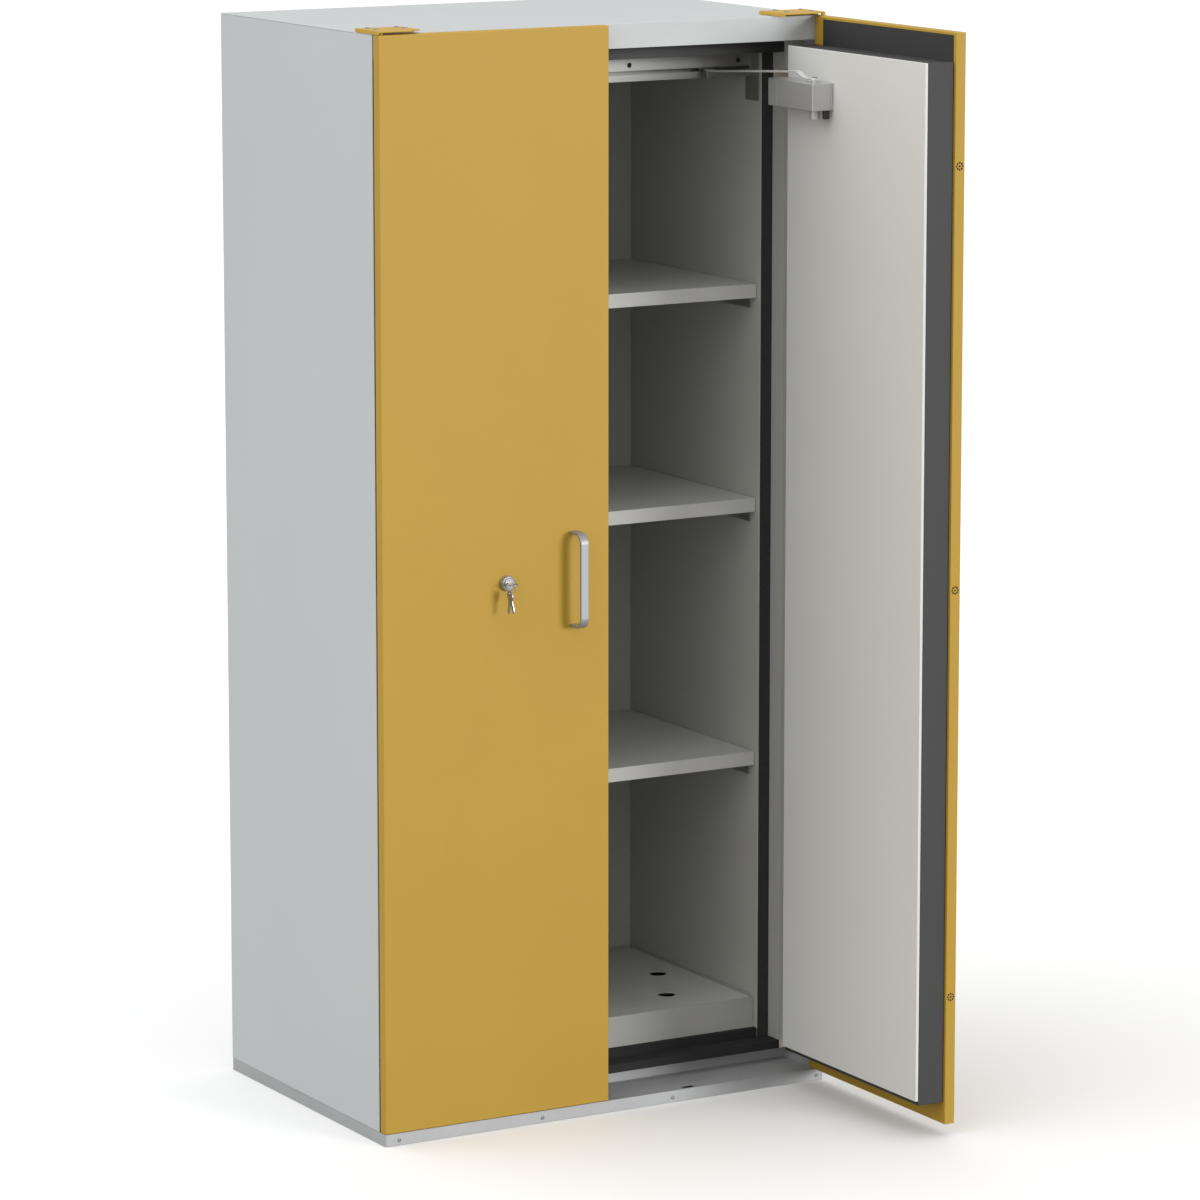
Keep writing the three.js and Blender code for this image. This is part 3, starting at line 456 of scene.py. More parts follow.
class Workpiece:
    """Metal, board or plastic being cut and joined; its sizes are in millimetres."""

    def __init__(self) -> None:
        """Starts with nothing on the bench."""
        self.mesh = bmesh.new()

    def block(self, low: Point, high: Point) -> "Workpiece":
        """Adds a rectangular block between two corners."""
        corners = [[min(a, b) for a, b in zip(low, high)], [max(a, b) for a, b in zip(low, high)]]
        points = [self.mesh.verts.new((corners[i][0], corners[j][1], corners[k][2]))
                  for i in (0, 1) for j in (0, 1) for k in (0, 1)]
        for ring in ((0, 1, 3, 2), (4, 6, 7, 5), (0, 4, 5, 1), (2, 3, 7, 6), (0, 2, 6, 4), (1, 5, 7, 3)):
            self.mesh.faces.new([points[index] for index in ring])
        return self

    def prism(self, outline: Sequence[tuple[float, float]], axis: str, low: float,
              high: float) -> "Workpiece":
        """Adds a flat outline drawn in the plane across an axis and raised along it.

        Args:
            outline: Points in the other two axes, in their usual order.
            axis: "x", "y" or "z".
            low: Start along the axis.
            high: End along the axis.

        Returns:
            The workpiece.
        """
        def spot(pair: tuple[float, float], depth: float) -> Point:
            return {"x": (depth, *pair), "y": (pair[0], depth, pair[1]), "z": (*pair, depth)}[axis]
        rings = [[self.mesh.verts.new(spot(pair, depth)) for pair in outline] for depth in (low, high)]
        self.mesh.faces.new(rings[0][::-1])
        self.mesh.faces.new(rings[1])
        for index in range(len(outline)):
            after = (index + 1) % len(outline)
            self.mesh.faces.new((rings[0][index], rings[0][after], rings[1][after], rings[1][index]))
        return self

    def turned(self, profile: Sequence[tuple[float, float]], centre: Point, axis: str, sides: int = 40,
               lobes: Optional[dict[int, float]] = None) -> "Workpiece":
        """Adds a turned shape.

        Args:
            profile: Pairs of radius and height along the axis, from one end to the other. A radius of 0
                closes an end in a point.
            centre: Where height 0 lies.
            axis: "x", "y" or "z".
            sides: Facets round the axis.
            lobes: For a profile point's place, the depth of six lobes pressed into its ring.

        Returns:
            The workpiece.
        """
        frame_axes = {"x": (Vector((0, 1, 0)), Vector((0, 0, 1)), Vector((1, 0, 0))),
                      "y": (Vector((0, 0, 1)), Vector((1, 0, 0)), Vector((0, 1, 0))),
                      "z": (Vector((1, 0, 0)), Vector((0, 1, 0)), Vector((0, 0, 1)))}[axis]
        rings = []
        for place, (radius, height) in enumerate(profile):
            middle = Vector(centre) + frame_axes[2] * height
            if radius == 0:
                rings.append([self.mesh.verts.new(middle)])
                continue
            ring = []
            for step in range(sides):
                angle = 2 * math.pi * step / sides
                reach = radius * (1 + (lobes or {}).get(place, 0) * math.cos(6 * angle))
                out = frame_axes[0] * reach * math.cos(angle) + frame_axes[1] * reach * math.sin(angle)
                ring.append(self.mesh.verts.new(middle + out))
            rings.append(ring)
        for lower, upper in zip(rings, rings[1:]):
            for step in range(sides):
                after = (step + 1) % sides
                corners = [lower[step % len(lower)], lower[after % len(lower)],
                           upper[after % len(upper)], upper[step % len(upper)]]
                unique = list(dict.fromkeys(corners))
                self.mesh.faces.new(unique)
        for ring, turn in ((rings[0], -1), (rings[-1], 1)):
            if len(ring) > 1:
                self.mesh.faces.new(ring[::turn])
        return self

    def rod(self, path: Sequence[Point], radius: float, sides: int = 14, closed: bool = False) -> "Workpiece":
        """Adds a round wire along a path.

        Args:
            path: Points along its middle.
            radius: Wire radius.
            sides: Facets round it.
            closed: Whether its ends join.

        Returns:
            The workpiece.
        """
        spots = [Vector(point) for point in path]
        count = len(spots)
        up = Vector((0.0, 0.0, 1.0))
        first = (spots[1] - spots[-1 if closed else 0]).normalized()
        side = first.cross(up if abs(first.z) < 0.9 else Vector((1.0, 0.0, 0.0))).normalized()
        rings = []
        for index, spot in enumerate(spots):
            before = spots[index - 1] if closed or index else spots[0]
            after = spots[(index + 1) % count] if closed or index < count - 1 else spots[-1]
            along = (after - before).normalized()
            side = (side - along * side.dot(along)).normalized()
            across = along.cross(side)
            rings.append([self.mesh.verts.new(
                spot + (side * math.cos(angle) + across * math.sin(angle)) * radius)
                for angle in (2 * math.pi * step / sides for step in range(sides))])
        for index in range(count if closed else count - 1):
            lower, upper = rings[index], rings[(index + 1) % count]
            for step in range(sides):
                after = (step + 1) % sides
                self.mesh.faces.new((lower[step], lower[after], upper[after], upper[step]))
        if not closed:
            self.mesh.faces.new(rings[0][::-1])
            self.mesh.faces.new(rings[-1])
        return self

    def round_edges(self, width: float, segments: int = 3,
                    keep: Callable[[bmesh.types.BMEdge], bool] = lambda edge: True) -> "Workpiece":
        """Rounds the sharp edges that are there now.

        Args:
            width: Radius.
            segments: Facets across an edge.
            keep: Says which sharp edges are rounded.

        Returns:
            The workpiece.
        """
        bmesh.ops.recalc_face_normals(self.mesh, faces=self.mesh.faces)
        chosen = [edge for edge in self.mesh.edges
                  if edge.is_manifold and edge.calc_face_angle(0) > SHARP and keep(edge)]
        bmesh.ops.bevel(self.mesh, geom=chosen, offset=width, segments=segments, profile=0.5, affect="EDGES")
        return self

    def moved(self, matrix: Matrix) -> "Workpiece":
        """Moves all that is on the bench."""
        self.mesh.transform(matrix)
        return self

    def _object(self, name: str) -> bpy.types.Object:
        """Turns the work into an object, still in millimetres."""
        bmesh.ops.recalc_face_normals(self.mesh, faces=self.mesh.faces)
        data = bpy.data.meshes.new(name)
        self.mesh.to_mesh(data)
        thing = bpy.data.objects.new(name, data)
        bpy.context.scene.collection.objects.link(thing)
        return thing

    def _combined(self, other: "Workpiece", operation: str) -> "Workpiece":
        """Cuts another piece of work out of this one, or welds it on.

        Args:
            other: The tool or the added part.
            operation: "DIFFERENCE" or "UNION".

        Returns:
            The workpiece.
        """
        first, second = self._object("bench_work"), other._object("bench_tool")
        step = first.modifiers.new("step", "BOOLEAN")
        step.operation = operation
        step.solver = "EXACT"
        step.object = second
        result = first.evaluated_get(bpy.context.evaluated_depsgraph_get()).to_mesh()
        self.mesh.free()
        self.mesh = bmesh.new()
        self.mesh.from_mesh(result)
        for thing in (first, second):
            data = thing.data
            bpy.data.objects.remove(thing)
            bpy.data.meshes.remove(data)
        return self

    def cut(self, other: "Workpiece") -> "Workpiece":
        """Cuts another piece of work out of this one."""
        return self._combined(other, "DIFFERENCE")

    def weld(self, other: "Workpiece") -> "Workpiece":
        """Joins another piece of work to this one in one skin."""
        return self._combined(other, "UNION")

    def piece(self, name: str, finish: Finish, body: str, slot: str, stands_for: Iterable[str] = (),
              place: Matrix = Matrix.Identity(4), edge: float = 0.3, segments: int = 2) -> bpy.types.Object:
        """Hands the work in as a finished piece of the cabinet.

        Args:
            name: The piece's name.
            finish: Its finish.
            body: The body that it moves with.
            slot: Not used.
            stands_for: The CAD nodes that it replaces.
            place: Where the piece goes in the row frame.
            edge: Edge radius in millimetres.
            segments: Facets across an edge.

        Returns:
            The object.
        """
        self.mesh.transform(Matrix.Scale(MM, 4))
        thing = self._object(name)
        self.mesh.free()
        for face in thing.data.polygons:
            face.use_smooth = True
        thing.data.set_sharp_from_angle(angle=SHARP)
        soften_edges(thing, edge, segments)
        thing.data.materials.append(coat(finish))
        thing.matrix_world = place
        bpy.context.view_layer.update()
        if stands_for:
            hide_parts(*stands_for)
        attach(thing, body)
        LOG.info("piece %s rides %s", name, body)
        return thing


def arc(centre: tuple[float, float], radius: float, start: float, end: float,
        steps: int = 12) -> list[tuple[float, float]]:
    """Points on an arc, with angles in degrees."""
    return [(centre[0] + radius * math.cos(math.radians(start + (end - start) * step / steps)),
             centre[1] + radius * math.sin(math.radians(start + (end - start) * step / steps)))
            for step in range(steps + 1)]


def rounded(low: tuple[float, float], high: tuple[float, float], radius: float,
            steps: int = 6) -> list[tuple[float, float]]:
    """Outline of a rectangle with round corners."""
    (x0, y0), (x1, y1) = low, high
    return [*arc((x1 - radius, y0 + radius), radius, -90, 0, steps),
            *arc((x1 - radius, y1 - radius), radius, 0, 90, steps),
            *arc((x0 + radius, y1 - radius), radius, 90, 180, steps),
            *arc((x0 + radius, y0 + radius), radius, 180, 270, steps)]


# --------------------------------------------------------------------------- carcass
@dataclass
class Coating:
    """What a kept CAD node gets: a finish and an edge radius in millimetres."""

    finish: Finish
    edge: float = 0.0
    segments: int = 3


@dataclass
class Carcass:
    """The insulated body: base, skins, boards, liners and the fittings that stay CAD shapes."""

    coatings: dict[str, Coating] = field(default_factory=lambda: {
        "plinth_board": Coating(Finish.PLINTH, 0.5),
        "base_trim": Coating(Finish.TRIM_STEEL, 0.5),
        "sill_plate": Coating(Finish.TRIM_STEEL, 0.5),
        "lower_hinge_pin": Coating(Finish.ZINC, 0.3),
        # The floor board takes the darker copy of the black laminate as painted shade.
        "floor_board": Coating(Finish.LEDGE_PAINTED_SHADE, 0.6),
        "top_board": Coating(Finish.BOARD_BLACK, 0.6),
        "back_core": Coating(Finish.INSULATION),
        "side_core": Coating(Finish.INSULATION),
        "jamb_cover": Coating(Finish.LINER_GREY, 0.4),
        "seal_strip": Coating(Finish.SEAL, 0.3),
        "side_liner": Coating(Finish.LINER_GREY, 0.4),
        "side_skin": Coating(Finish.BODY_GREY, 0.6),
        "back_liner": Coating(Finish.LINER_GREY, 0.4),
        "back_skin": Coating(Finish.BODY_GREY, 0.4),
        "top_skin": Coating(Finish.BODY_GREY, 0.7),
        "hinge_plate": Coating(Finish.DOOR_YELLOW, 0.4),
        "shelf_rest": Coating(Finish.ZINC, 0.4),
        "shelf": Coating(Finish.SHELF_GREY, 0.7),
        "sump_tray": Coating(Finish.TRAY_GREY, 0.6),
        "tray_cover": Coating(Finish.SHELF_GREY, 0.6),
        "guide_rail": Coating(Finish.RAIL_STEEL, 0.5),
        "rail_bracket": Coating(Finish.RAIL_STEEL, 0.4),
        "door_infill": Coating(Finish.INFILL, 0.4),
        "door_block": Coating(Finish.BOARD_BLACK, 0.8),
        "door_panel": Coating(Finish.PANEL_GREY, 0.7),
        "lock_case": Coating(Finish.ZINC, 0.5),
        "lock_bolt": Coating(Finish.ZINC, 0.5),
    })

    def dress(self) -> None:
        """Gives each kept CAD node its finish and its rounded edges."""
        by_length = sorted(self.coatings, key=len, reverse=True)
        for name, node in frame["nodes"].items():
            kind = next((key for key in by_length if name.startswith(key)), None)
            coating = self.coatings[kind] if kind else Coating(Finish.ZINC)
            node.data.materials.clear()
            node.data.materials.append(coat(coating.finish))
            if coating.edge:
                for face in node.data.polygons:
                    face.use_smooth = True
                soften_edges(node, coating.edge, coating.segments)
            LOG.info("node %s finished as %s", name, coating.finish.name)


@dataclass
class Screws:
    """Screw heads set into the base trim and the hinge plates, and painted shade in the sill plate's slot and
    hole.
    """

    trim_x: tuple[float, ...] = (-423, -136, 132, 436)
    trim_z: float = 9.3
    plate_spots: dict[str, tuple[tuple[float, float], ...]] = field(default_factory=lambda: {
        "left": ((-431, -225), (-431, -254), (-376, -225), (-376, -254)),
        "right": ((383, -225), (383, -262), (436, -225), (436, -262)),
    })
    head: float = 3.6

    def head_shape(self, centre: Point, axis: str, out: float, radius: float) -> Workpiece:
        """A flat round head with a six-lobed socket.

        Args:
            centre: Middle of the seat.
            axis: The screw's axis.
            out: +1 or -1, the way that the head faces along the axis.
            radius: Head radius.

        Returns:
            The head.
        """
        profile = [(radius * 0.8, -0.4), (radius, 0.0), (radius * 0.98, 0.7), (radius * 0.84, 1.25),
                   (radius * 0.56, 1.45), (radius * 0.46, 1.35), (radius * 0.4, 0.25), (0, 0.2)]
        return Workpiece().turned([(r, h * out) for r, h in profile], centre, axis, 36, {5: 0.16, 6: 0.16})

    def sill_shade_plates(self) -> None:
        """Painted shade: near-black plates set inside the sill plate's slot and hole."""
        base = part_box("sill_plate")[0][2] / MM + 0.1
        Workpiece().prism(rounded((164.3, -284.7), (187.7, -271.3), 2.4), "z", base, base + 0.7).piece(
            "sill_slot_painted_shade", Finish.HOLE_SHADE, "cabinet", "seal_black", edge=0)
        Workpiece().turned([(2.3, 0), (2.3, 0.7)], (120, -281, base), "z", 24).piece(
            "sill_hole_painted_shade", Finish.HOLE_SHADE, "cabinet", "seal_black", edge=0)

    def build(self) -> None:
        """Sets every screw head."""
        self.sill_shade_plates()
        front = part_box("base_trim")[0][1] / MM
        for number, x in enumerate(self.trim_x, 1):
            self.head_shape((x, front + 0.45, self.trim_z), "y", -1, self.head).piece(
                f"trim_screw_{number}", Finish.SCREW, "cabinet", "trim_steel", edge=0)
        for side, spots in self.plate_spots.items():
            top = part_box(f"hinge_plate_{side}")[1][2] / MM
            for number, (x, y) in enumerate(spots, 1):
                self.head_shape((x, y, top + 0.1), "z", 1, 4.4).piece(
                    f"hinge_plate_screw_{side}_{number}", Finish.SCREW, "cabinet", "lock_steel", edge=0)


# --------------------------------------------------------------------------- doors
LOCK_CENTRE = (-206.0, 977.0)


@dataclass
class Hanging:
    """How a door hangs: its side, its pivot and how far it stands open at rest.

    Pieces are made where they are with the door closed and then turned about the pivot.
    """

    side: str
    sign: int
    pivot: tuple[float, float]
    open_degrees: float

    @property
    def body(self) -> str:
        """The body that the door's pieces ride on."""
        return f"{self.side}_door"

    @property
    def place(self) -> Matrix:
        """Turns a piece from the closed place to the one at rest."""
        centre = Matrix.Translation((self.pivot[0], self.pivot[1], 0))
        turn = Matrix.Rotation(math.radians(self.open_degrees) * self.sign, 4, "Z")
        return centre @ turn @ centre.inverted()

    @property
    def pivot_mm(self) -> tuple[float, float]:
        """The pivot in millimetres."""
        return self.pivot[0] / MM, self.pivot[1] / MM

    def span(self, first: float, second: float) -> tuple[float, float]:
        """An x range given for the right door, for this one."""
        return (first, second) if self.sign > 0 else (-second, -first)

    def spot(self, value: float) -> float:
        """An x place given for the right door, for this one."""
        return value * self.sign


@dataclass
class DoorPan:
    """Folded yellow sheet pan with round vents along its free edge."""

    hung: Hanging
    sheet: float = 1.5
    fold: float = 1.6
    hinge_margin: float = 26.0
    foot_margin: float = 40.0
    free_lip: float = 7.0
    top_lip: float = 5.0
    vent_heights: dict[str, tuple[float, ...]] = field(default_factory=lambda: {
        "left": (1707.0, 251.0), "right": (1707.0, 973.0, 251.0)})
    vent_ring: float = 5.9
    vent_hole: float = 1.8
    vent_shade_plug: float = 1.65
    vent_line: float = -289.8
    pin_hole: float = 4.4
    bolt_y: tuple[float, float] = (-292.0, -284.0)
    bolt_half: float = 8.0
    shade_disc: float = 8.6
    lock_hole: float = 9.6

    def vent_places(self, height: float) -> list[tuple[float, float]]:
        """Middles of one vent's nine holes, as (y, z).

        Args:
            height: Middle of the vent.

        Returns:
            The middle hole and then the eight round it.
        """
        turns = [2 * math.pi * step / 8 for step in range(8)]
        around = [(self.vent_line + self.vent_ring * math.cos(turn), height + self.vent_ring * math.sin(turn))
                  for turn in turns]
        return [(self.vent_line, height), *around]

    def build(self) -> None:
        """Makes the pan in place of the plain one."""
        low, high = ([value / MM for value in corner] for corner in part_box("door_pan_left"))
        near, far = -high[0], -low[0]
        span, sheet = self.hung.span, self.sheet
        x0, x1 = span(near, far)
        outer = Workpiece().block((x0, low[1], low[2]), (x1, high[1], high[2]))
        outer.round_edges(self.fold, 4)
        x0, x1 = span(near + sheet, far - sheet)
        outer.cut(Workpiece().block((x0, low[1] + sheet, low[2] + sheet),
                                    (x1, high[1] - sheet, high[2] - sheet)))
        x0, x1 = span(near + self.free_lip, far - self.hinge_margin)
        outer.cut(Workpiece().block((x0, high[1] - 5, low[2] + self.foot_margin),
                                    (x1, high[1] + 2, high[2] - self.top_lip)))
        holes = Workpiece()
        edge_x = self.hung.spot(near)
        for height in self.vent_heights[self.hung.side]:
            for y, z in self.vent_places(height):
                holes.turned([(self.vent_hole, -3), (self.vent_hole, 3)], (edge_x, y, z), "x", 16)
        for height in (low[2], high[2]):
            holes.turned([(self.pin_hole, -4), (self.pin_hole, 4)], (*self.hung.pivot_mm, height), "z", 32)
        if self.hung.side == "left":
            holes.turned([(self.lock_hole, -4), (self.lock_hole, 4)],
                         (LOCK_CENTRE[0], low[1], LOCK_CENTRE[1]), "y", 40)
            holes.block((edge_x - 4, self.bolt_y[0], LOCK_CENTRE[1] - self.bolt_half),
                        (edge_x + 4, self.bolt_y[1], LOCK_CENTRE[1] + self.bolt_half))
        outer.cut(holes)
        side = self.hung.side
        sign = self.hung.sign
        behind = sign * (sheet + 0.2)
        # Painted shade: a near-black disc behind each vent and plugs just inside its holes make the holes
        # read dark.
        for number, height in enumerate(self.vent_heights[side], 1):
            profile = [(self.shade_disc - 0.4, 0), (self.shade_disc, 0.3 * sign), (self.shade_disc, 1.0 * sign),
                       (self.shade_disc - 0.4, 1.3 * sign)]
            shade_disc = Workpiece().turned(profile, (edge_x + behind, self.vent_line, height), "x", 40)
            for y, z in self.vent_places(height):
                inner = [(self.vent_shade_plug, 0.35 * sign), (self.vent_shade_plug, 1.6 * sign)]
                shade_disc.turned(inner, (edge_x, y, z), "x", 16)
            shade_disc.piece(
                f"vent_shade_disc_{side}_{number}", Finish.HOLE_SHADE, self.hung.body, "seal_black", (),
                self.hung.place, 0)
        outer.piece(f"door_pan_{side}_folded", Finish.DOOR_YELLOW, self.hung.body, "door_yellow",
                    [f"door_pan_{side}"], self.hung.place, 0.25, 2)


@dataclass
class PullHandle:
    """Flat aluminium strap bent twice, standing on the door front."""

    hung: Hanging
    across: float = 72.0
    bend: float = 20.0
    strap: float = 5.0
    crown: float = 1.4

    def build(self) -> None:
        """Makes the strap in place of the plain one."""
        low, high = ([value / MM for value in corner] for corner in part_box("handle_left"))
        face, foot, bottom, top = low[1], high[1], low[2], high[2]
        inner = self.bend - self.strap
        outline = [(foot, top), *arc((face + self.bend, top - self.bend), self.bend, 90, 180, 20),
                   *arc((face + self.bend, bottom + self.bend), self.bend, 180, 270, 20), (foot, bottom),
                   (foot, bottom + self.strap),
                   *arc((face + self.bend, bottom + self.bend), inner, 270, 180, 20),
                   *arc((face + self.bend, top - self.bend), inner, 180, 90, 20), (foot, top - self.strap)]
        half = (high[0] - low[0]) / 2
        middle = self.hung.spot(self.across)
        side = self.hung.side
        Workpiece().prism(outline, "x", middle - half, middle + half).piece(
            f"handle_{side}_strap", Finish.HANDLE, self.hung.body, "handle_metal",
            [f"handle_{side}"], self.hung.place, self.crown, 5)


@dataclass
class DoorCloser:
    """Overhead closer: housing on the door, arm and the slider in the guide rail."""

    hung: Hanging
    corner: float = 2.5
    seam: float = 0.5
    spindle: tuple[float, float] = (317.7, -197.3)
    hub: float = 10.5
    width: float = 16.0
    thick: float = 3.0
    base: float = 1782.0
    shaft: float = 6.5
    shaft_foot: float = 1830.0
    root_z: float = 1835.2
    tip_z: float = 1835.7
    cap_line: float = 96.0
    stub: float = 9.0
    stub_drop: float = 16.4
    post_x: tuple[float, float] = (297.0, 303.5)
    post_y: tuple[float, float] = (-215.0, -204.0)
    post_drop: float = 15.0
    track_y: float = -165.0
    slide_z: float = 1822.0
    slide_top: float = 1833.9

    def housing(self) -> None:
        """Cast housing with a joint line round its back, a stub and a stop post below."""
        low, high = ([value / MM for value in corner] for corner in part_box("closer_body_left"))
        side, sign = self.hung.side, self.hung.sign
        x0, x1 = self.hung.span(-high[0], -low[0])
        base, top = self.base, high[2]
        case = Workpiece().prism(rounded((x0, low[1]), (x1, high[1]), self.corner), "z", base, top)
        case.round_edges(1.3, 3)
        groove_y = low[1] + 5.5
        ring = Workpiece().block((x0 - 2, groove_y, base - 2), (x1 + 2, groove_y + self.seam, top + 2))
        ring.cut(Workpiece().block((x0 + 0.7, groove_y - 2, base + 0.7), (x1 - 0.7, groove_y + 3, top - 0.7)))
        case.cut(ring)
        cap = sign * (self.spindle[0] + self.cap_line)
        line = Workpiece().block((cap, low[1] - 2, base - 2), (cap + 0.5, high[1] + 2, top + 2))
        line.cut(Workpiece().block((cap - 2, low[1] + 0.6, base + 0.6), (cap + 3, high[1] - 0.6, top - 0.6)))
        case.cut(line)
        at = (sign * self.spindle[0], self.spindle[1])
        stub = [(self.stub - 0.5, -self.stub_drop), (self.stub, 0.5 - self.stub_drop), (self.stub, -0.1)]
        Workpiece().turned(stub, (*at, base), "z", 48).piece(
            f"closer_{side}_adjuster", Finish.CLOSER, self.hung.body, "closer_silver", (), self.hung.place, 0)
        case.piece(f"closer_{side}_housing", Finish.CLOSER, self.hung.body, "closer_silver",
                   [f"closer_body_{side}"], self.hung.place, 0.2, 2)
        p0, p1 = self.hung.span(*self.post_x)
        post = Workpiece().block((p0, self.post_y[0], base - self.post_drop), (p1, self.post_y[1], base))
        post.piece(f"closer_{side}_stop_post", Finish.SEAL, self.hung.body, "seal_black", (),
                   self.hung.place, 0.8, 3)
        # Near-black cap screw: painted shade for the dark dot of its dimple on the housing's top.
        Screws().head_shape((sign * (self.spindle[0] + 22), self.spindle[1] - 9, top), "z", 1, 2.6).piece(
            f"closer_{side}_cap_screw", Finish.HOLE_SHADE, self.hung.body, "seal_black", (),
            self.hung.place, 0)

    def arm(self, tip_x: float) -> None:
        """Bent strap arm from the spindle to the slider.

        Args:
            tip_x: Where the slider pin stands at rest.
        """
        side = self.hung.side
        closed = Vector((self.hung.sign * self.spindle[0] * MM, self.spindle[1] * MM, 0))
        root = self.hung.place @ closed
        away = Vector((tip_x * MM, self.track_y * MM, 0)) - Vector((root.x, root.y, 0))
        reach = away.length / MM
        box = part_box(f"closer_arm_{side}")
        tip_z, root_z = self.tip_z, self.root_z
        high_z = box[1][2] / MM - self.thick / 2
        centre = [(0, root_z), (13, root_z), (19, root_z + 0.7), (24, root_z + 2.3), (29, root_z + 5),
                  (33, root_z + 7.8), (37, root_z + 9.9), (41, high_z - 0.25), (46, high_z),
                  (52, high_z - 0.35), (reach - 17, tip_z), (reach, tip_z)]
        half_t, half_w = self.thick / 2, self.width / 2 - 1
        outline = [(s, z + half_t) for s, z in centre] + [(s, z - half_t) for s, z in centre[::-1]]
        strap = Workpiece().prism(outline, "y", -half_w, half_w)
        tip = [(half_w, tip_z - half_t), (half_w, tip_z + half_t)]
        hub = [(self.hub - 0.6, root_z - half_t), (self.hub, root_z - half_t + 0.5),
               (self.hub, root_z + half_t + 0.4), (self.hub - 0.7, root_z + half_t + 1)]
        strap.weld(Workpiece().turned(tip, (reach, 0, 0), "z", 40))
        strap.weld(Workpiece().turned(hub, (0, 0, 0), "z", 48))
        shaft = [(self.shaft, self.shaft_foot), (self.shaft, root_z)]
        strap.weld(Workpiece().turned(shaft, (0, 0, 0), "z", 40))
        place = Matrix.Translation(root) @ Matrix.Rotation(math.atan2(away.y, away.x), 4, "Z")
        strap.piece(f"closer_{side}_arm", Finish.ARM, f"{side}_closer_arm", "rail_steel",
                    [f"closer_arm_{side}"], place, 0.5, 3)
        hub_top = root_z + half_t + 1
        Screws().head_shape((0, 0, hub_top), "z", 1, 5.2).piece(
            f"closer_{side}_spindle_screw", Finish.SCREW, f"{side}_closer_arm", "lock_steel", (), place, 0)

    def slider(self, x: float) -> None:
        """Slide block under the arm's tip, with its neck in the slot and its shoe in the rail.

        Args:
            x: Where its pin stands at rest.
        """
        side, foot = self.hung.side, self.slide_z
        outline = rounded((x - 8, self.track_y - 7), (x + 8, -151.5), 3)
        body = Workpiece().prism(outline, "z", foot, self.slide_top)
        body.weld(Workpiece().block((x - 5, -152.9, foot + 1), (x + 5, -151.2, 1838.6)))
        body.weld(Workpiece().block((x - 5, -152, 1833.8), (x + 5, -145, 1838.6)))
        body.weld(Workpiece().block((x - 9, -147.2, 1826), (x + 9, -131, 1854)))
        body.piece(f"closer_{side}_slide_block", Finish.SLIDE, f"{side}_slider", "closer_silver",
                   [f"arm_slider_{side}"], edge=0.5, segments=2)
        Workpiece().turned([(2.2, -4), (2.8, -3.4), (2.8, 0.2)], (x, self.track_y, foot), "z", 28).piece(
            f"closer_{side}_slide_pin", Finish.SCREW, f"{side}_slider", "lock_steel", edge=0)


